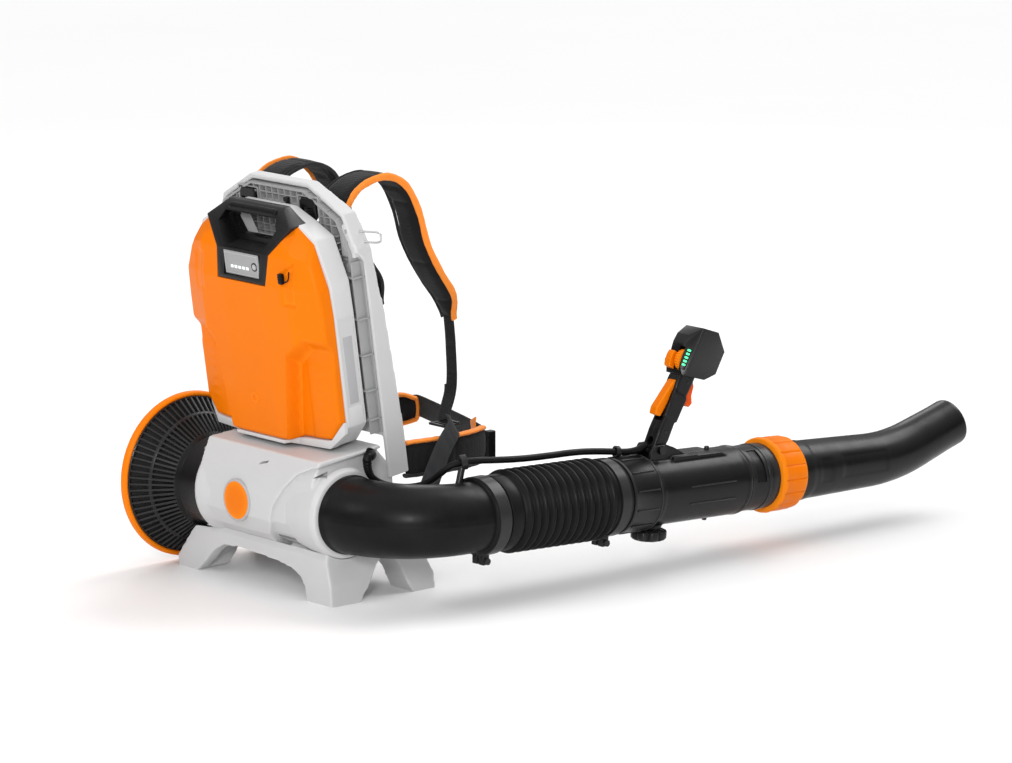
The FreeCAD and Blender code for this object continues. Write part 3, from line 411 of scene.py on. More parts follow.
def moulded(name, colour, rough, grain=900.0, grain_depth=0.00006, edge=None, spread=0.06,
            shine=0.5):
    """Moulded plastic: fine texture, slow colour drift, and a painted highlight that lightens convex edges.
    """
    n = Nodes(name)
    darker = tuple(c * (1 - spread) for c in colour)
    tint = n.mix(n.ramp(n.noise(9.0, 3.0), 0.3, 0.7), darker, colour)
    scuff = n.ramp(n.noise(55.0, 6.0, 0.7), 0.62, 0.78)
    tint = n.mix(n.sums("MULTIPLY", scuff, 0.25), tint, tuple(min(1.0, c * 1.12 + 0.002) for c in colour))
    # Painted highlight: convex edges are mixed towards the lighter edge colour.
    if edge:
        tint = n.mix(n.sums("MULTIPLY", n.edges(), 0.6), tint, edge)
    n.link(tint, n.shader.inputs["Base Color"])
    base = n.ramp(n.noise(30.0, 5.0, 0.6), 0.3, 0.7, rough - 0.05, rough + 0.07)
    n.link(base, n.shader.inputs["Roughness"])
    texture = n.bump(n.noise(grain, 2.0, 0.6), 0.35, grain_depth)
    n.link(n.bump(n.noise(7.0, 1.0), 0.12, 0.0012, texture), n.shader.inputs["Normal"])
    n.set(Specular_IOR_Level=shine)
    return n.material


def rubbery(name, colour, rough):
    """Soft rubber or hose: matt, slightly dusty in broad patches."""
    n = Nodes(name)
    dust = n.ramp(n.noise(22.0, 6.0, 0.65), 0.45, 0.75)
    tint = n.mix(n.sums("MULTIPLY", dust, 0.35), colour, tuple(c * 1.5 + 0.006 for c in colour))
    n.link(tint, n.shader.inputs["Base Color"])
    n.link(n.ramp(n.noise(60.0, 4.0), 0.3, 0.7, rough - 0.06, rough + 0.08), n.shader.inputs["Roughness"])
    n.link(n.bump(n.noise(1400.0, 2.0), 0.4, 0.00005), n.shader.inputs["Normal"])
    n.set(Specular_IOR_Level=0.14)
    return n.material


def metallic(name, colour, rough):
    """Drawn or turned metal with fine lines."""
    n = Nodes(name)
    lines = n.noise(500.0, 4.0, 0.6, (1, 1, 14))
    n.link(n.mix(n.ramp(lines, 0.35, 0.65), tuple(c * 0.82 for c in colour), colour),
           n.shader.inputs["Base Color"])
    n.link(n.ramp(lines, 0.3, 0.7, rough - 0.08, rough + 0.1), n.shader.inputs["Roughness"])
    n.link(n.bump(lines, 0.25, 0.00004), n.shader.inputs["Normal"])
    n.set(Metallic=1.0)
    return n.material


def woven(name, colour, light, thread, rough=0.85, sheen=0.35):
    """Plain weave of round threads, `thread` metres apart, laid over the three axes."""
    n = Nodes(name)
    waves = []
    for axis in ("X", "Y", "Z"):
        wave = n.add("ShaderNodeTexWave", wave_type="BANDS", bands_direction=axis, wave_profile="SIN")
        wave.inputs["Scale"].default_value = 0.314 / thread
        wave.inputs["Distortion"].default_value = 0.35
        wave.inputs["Detail"].default_value = 1.0
        n.link(n.place, wave.inputs["Vector"])
        waves.append(wave.outputs["Fac"])
    cloth = n.sums("ADD", n.sums("MULTIPLY", waves[0], waves[2]), n.sums("MULTIPLY", waves[1], waves[2]))
    fibre = n.noise(2600.0, 3.0, 0.7)
    height = n.sums("ADD", cloth, n.sums("MULTIPLY", fibre, 0.6))
    faded = n.ramp(n.noise(14.0, 5.0, 0.6), 0.35, 0.75)
    tint = n.mix(n.ramp(height, 0.2, 1.8), colour, light)
    tint = n.mix(n.sums("MULTIPLY", faded, 0.3), tint, tuple(c * 1.6 + 0.006 for c in colour))
    n.link(tint, n.shader.inputs["Base Color"])
    n.link(n.ramp(fibre, 0.3, 0.7, rough - 0.08, rough + 0.08), n.shader.inputs["Roughness"])
    n.link(n.bump(height, 0.55, thread * 0.25), n.shader.inputs["Normal"])
    n.set(Sheen_Weight=sheen, Sheen_Roughness=0.45, Specular_IOR_Level=0.25)
    return n.material


def glowing(name, colour, strength):
    """Small lamp with a slightly speckled lens."""
    n = Nodes(name)
    spots = n.ramp(n.noise(900.0, 2.0), 0.3, 0.7)
    n.link(n.mix(spots, tuple(c * 0.75 for c in colour), colour), n.shader.inputs["Base Color"])
    n.set(Emission_Color=colour + (1.0,), Emission_Strength=strength, Roughness=0.3)
    return n.material


# The edge colours are painted highlights along convex edges.
WHITE = moulded("white_plastic", (0.57, 0.57, 0.575), 0.42, edge=(0.68, 0.68, 0.68), spread=0.03, shine=0.3)
ORANGE = moulded("orange_plastic", (0.85, 0.186, 0.001), 0.36, edge=(0.98, 0.3, 0.01), spread=0.05,
                 shine=0.08)
RED = moulded("red_plastic", (0.8, 0.085, 0.003), 0.38, edge=(0.9, 0.2, 0.03), shine=0.12)
BLACK = moulded("black_plastic", (0.0045, 0.0045, 0.005), 0.3, grain=700.0, grain_depth=0.0001,
                edge=(0.035, 0.035, 0.036), spread=0.2, shine=0.22)
DARK = moulded("dark_plastic", (0.004, 0.004, 0.0045), 0.35, grain=1200.0, edge=(0.03, 0.03, 0.03),
               spread=0.2,
               shine=0.22)
GREY = moulded("grey_plastic", (0.25, 0.25, 0.255), 0.5, edge=(0.42, 0.42, 0.42), spread=0.12, shine=0.3)
LIGHT_GREY = moulded("light_grey_plastic", (0.42, 0.42, 0.43), 0.45, spread=0.05)
RUBBER = rubbery("hose_rubber", (0.0045, 0.0045, 0.005), 0.36)
JACKET = rubbery("cable_jacket", (0.005, 0.005, 0.0055), 0.42)
STEEL = metallic("steel", (0.62, 0.62, 0.63), 0.3)
BRASS = metallic("contact_metal", (0.83, 0.62, 0.3), 0.28)
CELL = moulded("cell_wrap", (0.05, 0.16, 0.32), 0.3, spread=0.1)
PAD = woven("pad_fabric", (0.005, 0.005, 0.0055), (0.015, 0.015, 0.016), 0.0016, 0.85, 0.08)
MESH_PAD = woven("mesh_fabric", (0.008, 0.008, 0.009), (0.05, 0.05, 0.05), 0.0032)
WEBBING = woven("webbing", (0.007, 0.007, 0.0075), (0.024, 0.024, 0.025), 0.0021, 0.75, 0.06)
PIPING = woven("orange_piping", (0.85, 0.2, 0.008), (1.0, 0.36, 0.05), 0.0014, 0.7, 0.2)
LAMP = glowing("lamp_green", (0.05, 0.75, 0.25), 2.2)
PALE_LAMP = glowing("lamp_pale", (0.75, 0.8, 0.8), 0.5)
HOSE = rubbery("bellows_rubber", (0.005, 0.005, 0.0055), 0.4)
SCREEN = woven("intake_mesh", (0.003, 0.003, 0.003), (0.014, 0.014, 0.015), 0.0022, 0.6, 0.0)
DARK_STEEL = metallic("dark_steel", (0.04, 0.04, 0.042), 0.35)
# Lighter black, used only as a painted highlight along the control head's edge.
EDGE_HIGHLIGHT_BLACK = moulded("painted_highlight_black_plastic", (0.035, 0.035, 0.036), 0.4, spread=0.2, shine=0.3)
LOAD_WEB = woven("load_webbing", (0.03, 0.031, 0.033), (0.06, 0.061, 0.064), 0.0013, 0.8, 0.08)
EDGE_TAPE = woven("edge_tape", (0.012, 0.012, 0.013), (0.03, 0.03, 0.032), 0.0009, 0.85, 0.2)
COPPER = metallic("copper_winding", (0.55, 0.22, 0.09), 0.4)


# ---- floor, light and camera ---------------------------------------------------------------------
SKY_LOW, SKY_TOP = 0.0, 1.27           # brightness at the horizon and overhead
LIGHTS = [("key", (-0.8, -3.1, 2.3), 1.2, 18.0), ("front", (2.6, -2.6, 1.5), 0.7, 58.0),
          ("rim", (-2.4, 2.4, 2.0), 1.2, 12.0)]
SUN_FROM, SUN_WIDTH, SUN_POWER = (-0.02, 0.64, 0.77), 34.0, 1.25
LIGHTS_AIM = (0.1, 0.2, 0.2)
FLOOR_REACH = 40.0
CAMERA_AZIMUTH, CAMERA_ELEVATION = radians(49.0), radians(11.0)
CAMERA_PLACE, CAMERA_LENS, CAMERA_SENSOR = (4.8835, -3.890, 1.477), 170.4, 36.0


def aimed(data, place, towards):
    """A lamp or camera at a place, turned in a direction."""
    thing = bpy.data.objects.new(data.name, data)
    thing.location = place
    thing.rotation_mode = "QUATERNION"
    thing.rotation_quaternion = towards.to_track_quat("-Z", "Y")
    bpy.context.scene.collection.objects.link(thing)
    return thing


def studio():
    """Pale floor, a sky that is brighter overhead, soft lamps and a wide soft sun."""
    floor_material = Nodes("studio_floor")
    tone = floor_material.ramp(floor_material.noise(1.5, 3.0), 0.3, 0.7, 0.0, 1.0)
    floor_material.link(floor_material.mix(tone, (0.89, 0.89, 0.89), (0.9, 0.9, 0.9)),
                        floor_material.shader.inputs["Base Color"])
    floor_material.set(Roughness=0.55)
    bm = bmesh.new()
    bmesh.ops.create_grid(bm, x_segments=8, y_segments=8, size=FLOOR_REACH)
    mesh = bpy.data.meshes.new("floor")
    bm.to_mesh(mesh)
    bm.free()
    mesh.materials.append(floor_material.material)
    floor = bpy.data.objects.new("floor", mesh)
    bpy.context.scene.collection.objects.link(floor)

    world = bpy.data.worlds.new("studio")
    bpy.context.scene.world = world
    world.use_nodes = True
    tree = world.node_tree
    place = tree.nodes.new("ShaderNodeTexCoord")
    split = tree.nodes.new("ShaderNodeSeparateXYZ")
    rise = tree.nodes.new("ShaderNodeMapRange")
    for key, number in (("From Min", 0.0), ("From Max", 1.0), ("To Min", SKY_LOW), ("To Max", SKY_TOP)):
        rise.inputs[key].default_value = number
    tree.links.new(place.outputs["Generated"], split.inputs["Vector"])
    tree.links.new(split.outputs["Z"], rise.inputs["Value"])
    tree.links.new(rise.outputs["Result"], tree.nodes["Background"].inputs["Strength"])
    tree.nodes["Background"].inputs["Color"].default_value = (1.0, 1.0, 1.0, 1.0)
    for name, spot, width, power in LIGHTS:
        light = bpy.data.lights.new(name, "AREA")
        light.size = width
        light.energy = power
        aimed(light, Vector(spot), Vector(LIGHTS_AIM) - Vector(spot))
    sun = bpy.data.lights.new("soft_sun", "SUN")
    sun.energy = SUN_POWER
    sun.angle = radians(SUN_WIDTH)
    aimed(sun, Vector(SUN_FROM), -Vector(SUN_FROM))


def camera():
    """Long lens at the product's three-quarter view."""
    data = bpy.data.cameras.new("camera")
    data.lens = CAMERA_LENS
    data.sensor_width = CAMERA_SENSOR
    level = cos(CAMERA_ELEVATION)
    back = Vector((sin(CAMERA_AZIMUTH) * level, -cos(CAMERA_AZIMUTH) * level, sin(CAMERA_ELEVATION)))
    bpy.context.scene.camera = aimed(data, Vector(CAMERA_PLACE), -back)
    bpy.context.scene.view_settings.view_transform = "Standard"


studio()
camera()


# ---- throttle cable --------------------------------------------------------------------------------
CABLE_WIDTH = 9.0
CABLE_CLIP = (250, 64, 186)
CABLE_GUIDE = (264, 321, 166.94)
CABLE_SPLIT = (262.33, 311, 168.3)
CABLE_LOWER = [(163, -26, 190), (163.5, -26.5, 177), (164, -20, 164), (167, -5, 153.5), (180, 13, 148.5),
               (202, 28, 151), (221, 36, 161), (235, 41, 174), (244, 49.5, 184), CABLE_CLIP]
CABLE_UPPER = [(250.19, 64.46, 186.06), (255, 76.08, 187.67), (258, 108, 184), (258, 156, 179),
               (256, 206, 176),
               (256, 256, 174.5), (259.33, 293, 170.74), CABLE_SPLIT]
CABLE_TAIL = [CABLE_SPLIT, (264.67, 325, 166.4), (267.5, 337, 165.2), (271, 348, 166), (273.8, 357, 169),
              (275, 364, 172.6)]


def cable_line(points):
    """Points of the smooth line that the route's points control, in metres."""
    curve = bpy.data.curves.new("route", "CURVE")
    curve.dimensions = "3D"
    curve.resolution_u = 12
    line = curve.splines.new("NURBS")
    line.points.add(len(points) - 1)
    for control, (x, y, z) in zip(line.points, points):
        control.co = (x * MM, y * MM, z * MM, 1.0)
    line.order_u = 3
    line.use_endpoint_u = True
    thing = bpy.data.objects.new("route", curve)
    bpy.context.scene.collection.objects.link(thing)
    bpy.context.view_layer.update()
    mesh = bpy.data.meshes.new_from_object(thing)
    found = [v.co.copy() for v in mesh.vertices]
    bpy.data.objects.remove(thing)
    return found


def cable(name, points, solids):
    """One run of the throttle cable, swept along its smooth route."""
    line = cable_line(points)
    bm = sweep([p / MM for p in line], round_section(CABLE_WIDTH / 2, 20))
    thing = piece(name, mesh_of(bm), JACKET, None, 60)
    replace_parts(thing, solids)
    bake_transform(thing)


cable("cable_lower_run", CABLE_LOWER,
      "cable_lower")
cable("cable_upper_run", CABLE_UPPER,
      "cable_upper")
cable("cable_tail_run", CABLE_TAIL, "cable_tail")


# ---- relief: a front surface given as a depth over x and z -------------------------------------------
def line_side(line, x, z):
    """Distance to the right of a line through two points, when looking from the first to the second."""
    (x0, z0), (x1, z1) = line
    length = hypot(x1 - x0, z1 - z0)
    return ((x - x0) * (z1 - z0) - (z - z0) * (x1 - x0)) / length


def shifted(line, by):
    """The line moved to its right by a distance."""
    (x0, z0), (x1, z1) = line
    length = hypot(x1 - x0, z1 - z0)
    dx, dz = (z1 - z0) / length * by, -(x1 - x0) / length * by
    return (x0 + dx, z0 + dz), (x1 + dx, z1 + dz)


def bisect(bm, line, clear=False):
    """Cuts along a line in the xz plane; `clear` also takes away what is on its left."""
    (x0, z0), (x1, z1) = line
    away = Vector((z1 - z0, 0, -(x1 - x0))).normalized()
    geometry = list(bm.verts) + list(bm.edges) + list(bm.faces)
    bmesh.ops.bisect_plane(bm, geom=geometry, plane_co=(x0, 0, z0), plane_no=away, dist=1e-4,
                           clear_inner=clear, clear_outer=False)


def relief(outline, depth, back, cuts, step, rim, keep):
    """Closed slab: its front is the depth function with rounded rims, its back is flat.
    The outline is convex and given clockwise, seen from the front; keep(x, z) says what stays."""
    xs = [p[0] for p in outline]
    zs = [p[1] for p in outline]
    low_x, low_z = min(xs), min(zs)
    nx, nz = int((max(xs) - low_x) / step) + 1, int((max(zs) - low_z) / step) + 1
    bm = bmesh.new()
    grid = [[bm.verts.new((low_x + i * step, 0, low_z + k * step)) for i in range(nx + 1)]
            for k in range(nz + 1)]
    for k in range(nz):
        for i in range(nx):
            bm.faces.new((grid[k][i], grid[k][i + 1], grid[k + 1][i + 1], grid[k + 1][i]))
    edges = list(zip(outline, outline[1:] + outline[:1]))
    for edge in edges:
        bisect(bm, edge, True)
        for share in (0.08, 0.3, 0.6, 1.0):
            bisect(bm, shifted(edge, rim * share))
    for line in cuts:
        bisect(bm, line)
    gone = [f for f in bm.faces if not keep(f.calc_center_median().x, f.calc_center_median().z)]
    bmesh.ops.delete(bm, geom=gone, context="FACES")
    bmesh.ops.remove_doubles(bm, verts=bm.verts, dist=0.02)
    front = list(bm.faces)
    made = bmesh.ops.extrude_face_region(bm, geom=front)
    backs = [v for v in made["geom"] if isinstance(v, bmesh.types.BMVert)]
    back_set = set(backs)
    for v in bm.verts:
        if v in back_set:
            v.co.y = back
            continue
        inside = min(line_side(edge, v.co.x, v.co.z) for edge in edges)
        share = min(1.0, max(0.0, inside / rim))
        v.co.y = depth(v.co.x, v.co.z) + rim * (1 - sqrt(max(0.0, 1 - (1 - share) ** 2)))
    return bm


# ---- battery -----------------------------------------------------------------------------------------
COVER_FRONT, COVER_BACK, BATTERY_REAR = -46.0, -9.0, 24.0
RECESS_Y = -23.0
PANEL_EDGE = ((77, 347), (56, 206))
LEDGE_SLANT = ((72, 331), (103, 355))
LEDGE_FLAT = ((103, 355), (150, 353))
TOP_SLOPE = [(421, 0.0), (461, 8.0), (497, 25.0), (518, 41.0)]


def handle_width(z):
    """Half width of the carrying frame at a height."""
    return between(z, [(421, 50.9), (461, 54.5), (497, 88.5), (520, 58)])


def cover_depth(x, z):
    """Where the cover's face is: facets, side recesses with ribs, and the port's pocket."""
    side = abs(x)
    y = COVER_FRONT + between(z, TOP_SLOPE) * smooth_step((z - 418) / 8)
    y += 0.045 * max(0.0, side - 40) + 0.27 * max(0.0, side - 90)
    facet = -line_side(((82, 474), (128, 448)), side, z)
    y += 0.35 * max(0.0, facet) * smooth_step((side - 70) / 12)
    inner = -line_side(PANEL_EDGE, side, z) / 7.0
    slant = line_side(LEDGE_SLANT, side, z) / 19.0
    flat = line_side(LEDGE_FLAT, side, z) / 19.0
    share = smooth_step(min(inner, slant, flat))
    recess = RECESS_Y + 0.05 * max(0.0, side - 100) ** 1.2
    for k in range(6):
        rib = hypot((side - 113) / 10.0, (z - (308 - 13 * k)) / 2.6)
        recess -= 1.1 * max(0.0, 1 - rib * rib)
    recess -= 1.5 * smooth_step((side - 88) / 5) * smooth_step((322 - z) / 10)
    y += (recess - y) * share if recess > y else 0.0
    port = min((x - 78) / 6.0, (103 - x) / 1.2, (z - 398) / 3.0,
               line_side(((78, 441), (103, 457)), x, z) / 3.0)
    y += 4.2 * smooth_step(port) * smooth_step((x - 70) / 30.0 + 0.25)
    left = min((-x - 84) / 4.0, (108 + x) / 4.0, (z - 398) / 3.0, (452 - z) / 3.0)
    y += 1.6 * smooth_step(left)
    return y


def battery_cover():
    """Orange front with its relief."""
    right = [(0, 211.6), (52, 211.6), (122, 216), (140, 240), (141, 345), (141, 384), (138, 418),
             (118, 477), (86, 498)]
    outline = [(-x, z) for x, z in right[1:]] + [(x, z) for x, z in reversed(right[1:])]
    cuts = []
    for side in (1, -1):
        lines = [shifted(PANEL_EDGE, -d) for d in (0, 2.3, 4.7, 7)]
        lines += [shifted(LEDGE_SLANT, d) for d in (0, 9.5, 19)] + [shifted(LEDGE_FLAT, d)
                                                                    for d in (0, 9.5, 19)]
        lines += [((40, 200), (40, 520)), ((90, 200), (90, 520)), ((82, 474), (128, 448)),
                  ((50.9, 421), (54.5, 461)), ((54.5, 461), (88.5, 497))]
        cuts += [((side * a[0], a[1]), (side * b[0], b[1])) for a, b in lines]
    cuts += [((-150, 421), (150, 421)), ((103, 390), (103, 460)), ((104.2, 390), (104.2, 460))]
    bm = relief(outline, cover_depth, COVER_BACK - 0.3, cuts, 3.2, 5.0,
                lambda x, z: z < 421 or abs(x) > handle_width(z))
    cover = piece("battery_cover_front", mesh_of(bm, LEANING), ORANGE, "battery", 32)
    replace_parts(cover, "battery_cover")


def lock_screw():
    """Cross-head lock in a round seat, low on the cover."""
    origin = (Vector((0, COVER_FRONT, 263)), Vector((0, -1, 0)), UP)
    ring = rounded_profile([(-3, 4.4), (-3, 7.6), (0.9, 7.6), (0.9, 4.4)], 0.6)
    piece("lock_screw_ring", lathe(ring, origin, 40, None, True, LEANING), ORANGE, "battery")
    head = lathe_bm(rounded_profile([(-3, 0.1), (-3, 4.2), (-0.4, 4.2), (-0.4, 0.1)], 0.4), origin, 32)
    slots = [prism_bm(rectangle(-2.4, -0.6, 2.4, 0.6), "xz", -2, 2),
             prism_bm(rectangle(-0.6, -2.4, 0.6, 2.4), "xz", -2, 2)]
    for cross in slots:
        bmesh.ops.translate(cross, verts=cross.verts, vec=(0, COVER_FRONT, 263))
    piece("lock_screw_head", mesh_of(carve(head, slots), LEANING), STEEL, "battery")


SHELL_HALF = [(50, 514), (86, 499), (120, 482), (141, 424), (143, 380), (143, 232), (118, 204), (60, 202),
              (52, 207)]
WINDOW = [(50, 507), (57, 492), (42, 466)]
HANDLE_HALF = [(57, 518), (88, 497), (54, 461), (50.4, 421)]


def battery_shell():
    """White rear half, open towards the cover, with a raised rim and a set-back panel on each side."""
    outer = prism_bm(mirrored(SHELL_HALF), "xz", COVER_BACK, BATTERY_REAR)
    round_edges(outer, 3.0, 4, 25)
    room = [(52, 465), (112, 476), (137, 420), (139, 380), (139, 234), (116, 208), (50, 211)]
    cuts = [prism_bm(mirrored(room), "xz", COVER_BACK - 5, BATTERY_REAR - 3),
            prism_bm(mirrored(WINDOW), "xz", -60, 60)]
    handle = [(57, 530), (88.6, 497), (82, 488), (50, 462)]
    cuts.append(prism_bm(mirrored(handle), "xz", -20, 6.2))
    for side in (-1, 1):
        panel = rectangle(-5, 376, 20, 232)
        cuts.append(prism_bm(panel, "yz", min(side * 142.2, side * 150), max(side * 142.2, side * 150)))
    shell = piece("battery_shell_rear", mesh_of(carve(outer, cuts), LEANING), WHITE, "battery",
                  30)
    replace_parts(shell, "battery_shell")
    for side, name in ((-1, "left"), (1, "right")):
        label = block(min(side * 142.1, side * 142.5), 0, 262, max(side * 142.1, side * 142.5), 15, 352,
                      0.15, LEANING)
        piece("blank_label_" + name, label, LIGHT_GREY, "battery")
        pad = block(min(side * 141.9, side * 142.6), -4, 233, max(side * 141.9, side * 142.6), 19, 258, 0.3,
                    LEANING)
        piece("side_inlay_" + name, pad, WHITE, "battery")


def battery_rim():
    """White band under the cover, stepped at the middle."""
    plan = [(50, -45.4), (60, -26.5), (118, -24.0), (141.5, -14), (142.6, COVER_BACK), (0, COVER_BACK),
            (0, -45.4)]
    whole = [(x, y) for x, y in plan[:-2]] + [(-x, y) for x, y in reversed(plan[:-2])]
    band = prism_bm(whole, "xy", 200, 260)
    front = [(52, 211), (122, 215.4), (140.6, 240), (150, 240), (150, 232), (119.5, 204), (60, 202),
             (54, 206.5)]
    view = prism_bm(mirrored(front), "xz", -60, 10)
    bm = carve(band, [view], "INTERSECT")
    round_edges(bm, 1.2, 3, 25)
    piece("battery_bottom_rim", mesh_of(bm, LEANING), WHITE, "battery", 30)


def battery_handle():
    """Black carrying frame: a bar over a deep hand hole, the display below."""
    side = [(-44.5, 420), (-44.5, 424), (-38.5, 461), (-22, 498), (-9, 515), (-4, 518), (9, 518), (9, 420)]
    block_bm = prism_bm(mirrored(HANDLE_HALF), "xz", -46, 6)
    shape = carve(block_bm, [prism_bm(side, "yz", -100, 100)], "INTERSECT")
    round_edges(shape, 1.8, 3, 25)
    funnel = prism_bm(mirrored([(53, 505.5), (61, 492), (50, 476), (41, 463)]), "xz", -60, -8)
    hole = prism_bm(mirrored([(47, 503), (53, 492), (40, 472)]), "xz", -10, 20)
    low = prism_bm(mirrored([(49.8, 462), (46, 423)]), "xz", -12, 20)
    back_cut = prism_bm(mirrored([(49.8, 461), (49.8, 419)]), "xz", COVER_BACK, 30)
    pocket = prism_bm(mirrored([(37, 460), (37, 427)]), "xz", -60, -39.4)
    bm = carve(shape, [funnel, hole, low, back_cut, pocket])
    round_edges(bm, 0.7, 2, 40)
    frame_piece = piece("battery_handle_frame", mesh_of(bm, LEANING), BLACK, "battery", 32)
    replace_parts(frame_piece, "battery_frame")
    grip = rounded_profile([(-50, 0.1), (-50, 5.2), (-44, 6.4), (44, 6.4), (50, 5.2), (50, 0.1)], 1.0)
    axis = (Vector((0, -9, 509.5)), RIGHT, UP)
    ribs = lathe(grip, axis, 36, lambda a, t: 0.25 * cos(a * 1.6) if abs(a) < 42 else 0.0, True, LEANING)
    piece("handle_grip_insert", ribs, RUBBER, "battery")
    floor = [(-34, 463), (-10, 465.5), (-10, 462.2), (-34, 459.8)]
    piece("handle_shelf", prism(floor, "yz", -40, 40, 0.5, LEANING), DARK, "battery")


def display():
    """Blank charge display: plate, border, five lamps and its button."""
    plate = prism(rectangle(-36, 427.6, 36, 459.4), "xz", -41.2, -39.5, 0.7, LEANING)
    shown = piece("display_plate", plate, GREY, "battery")
    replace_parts(shown, "battery_display")
    edge = carve(prism_bm(rectangle(-34, 429.6, 34, 457.4), "xz", -41.7, -40.5),
                 [prism_bm(rectangle(-32.8, 430.8, 32.8, 456.2), "xz", -45, -38)])
    piece("display_border", mesh_of(edge, LEANING), LIGHT_GREY, "battery")
    lamps = [prism(rectangle(x, 437, x + 5.4, 441), "xz", -41.9, -41.0, 0.4, LEANING)
             for x in (-23, -15, -7, 1, 9)]
    piece("display_lamps", merged(lamps), PALE_LAMP, "battery")
    axis = (Vector((27, -41.2, 443)), Vector((0, -1, 0)), UP)
    collar = rounded_profile([(-0.5, 4.4), (-0.5, 5.8), (0.8, 5.8), (0.8, 4.4)], 0.3)
    piece("button_collar", lathe(collar, axis, 36, None, True, LEANING), DARK, "battery")
    cap = lathe_bm([(-1.2, 3.9), (0.9, 3.9), (1.4, 3.4), (1.6, 2.2), (1.6, 0.3)], axis, 32, None, False)
    button = piece("charge_button", mesh_of(cap, LEANING), LIGHT_GREY, "battery_button")
    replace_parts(button, "battery_button")


def port_cap():
    """Ribbed rubber cap on a looped tether."""
    cap = prism(rectangle(79, 428, 87, 442), "xz", -45.6, -40.0, 1.0, LEANING)
    ribs = [prism(rectangle(79.6, z, 86.4, z + 1.2), "xz", -46.2, -45.2, 0.3, LEANING)
            for z in (431, 434, 437)]
    tether = spline([(87, -43.2, 433.5), (91, -43, 431.8), (95.5, -42.6, 433.5), (98.5, -42.2, 438),
                     (99.6, -41.6, 446)], 8)
    loop = mesh_of(sweep(tether, round_section(0.95, 10)), LEANING)
    whole = piece("service_port_cap", merged([cap, loop] + ribs), RUBBER, "battery")
    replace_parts(whole, "battery_port_cap")


battery_cover()
lock_screw()
battery_shell()
battery_rim()
battery_handle()
display()
port_cap()


# ---- sculpted shells ---------------------------------------------------------------------------------
def evaluated(bm, settings):
    """The bmesh after modifiers, given as (kind, settings) rows."""
    mesh = bpy.data.meshes.new("shape")
    bm.to_mesh(mesh)
    bm.free()
    thing = bpy.data.objects.new("shape", mesh)
    bpy.context.scene.collection.objects.link(thing)
    for kind, values in settings:
        modifier = thing.modifiers.new(kind, kind)
        for key, value in values.items():
            setattr(modifier, key, value)
    graph = bpy.context.evaluated_depsgraph_get()
    out = bmesh.new()
    made = bpy.data.meshes.new_from_object(thing.evaluated_get(graph))
    out.from_mesh(made)
    bpy.data.objects.remove(thing)
    return out


def sculpt(bm, voxel, rounds):
    """One skin over everything, with its edges rounded and its inner corners filled."""
    bmesh.ops.recalc_face_normals(bm, faces=bm.faces)
    return evaluated(bm, [("REMESH", {"mode": "VOXEL", "voxel_size": voxel}),
                          ("SMOOTH", {"factor": 0.5, "iterations": rounds})])


def added(*parts):
    """Several bmeshes in one."""
    base = parts[0]
    for part in parts[1:]:
        mesh = bpy.data.meshes.new("more")
        part.to_mesh(mesh)
        part.free()
        base.from_mesh(mesh)
    return base


def half(bm, point, normal):
    """What is behind a plane, closed again."""
    out = bm.copy()
    geometry = list(out.verts) + list(out.edges) + list(out.faces)
    cut = bmesh.ops.bisect_plane(out, geom=geometry, plane_co=point, plane_no=normal, clear_outer=True)
    rim = [e for e in cut["geom_cut"] if isinstance(e, bmesh.types.BMEdge)]
    bmesh.ops.holes_fill(out, edges=rim, sides=0)
    return out


# ---- fan housing -------------------------------------------------------------------------------------
HOUSING_X0, HOUSING_X1, SEAM_Y, ELBOW_SPIGOT = -88.0, 146.0, -40.0, 51.4
OUTLINE = [(-52, 59), (-77, 64.5), (-97, 80), (-108, 102), (-108, 136), (-102, 160), (-89, 190),
           (-30, 195.5),
           (8, 200.8), (52, 150), (56, 96), (56, 59)]
LEDGE = [(45, 72), (64, 98), (70, 118), (90, 146), (110, 166), (137, 177), (160, 180)]


def moved_outline(front, around):
    """The side view with its front moved forward and its other faces moved inward."""
    rows = []
    for y, z in OUTLINE:
        rows.append((y - (front if y < -60 else 0.0),
                     z + (around if z < 90 else -around if z > 185 else 0.0)))
    return rows


def behind_plate():
    """Room behind the housing for the back plate's foot."""
    return prism_bm([(43.5, 100), (90, 100), (90, 215), (30, 215)], "yz", -143, 160)


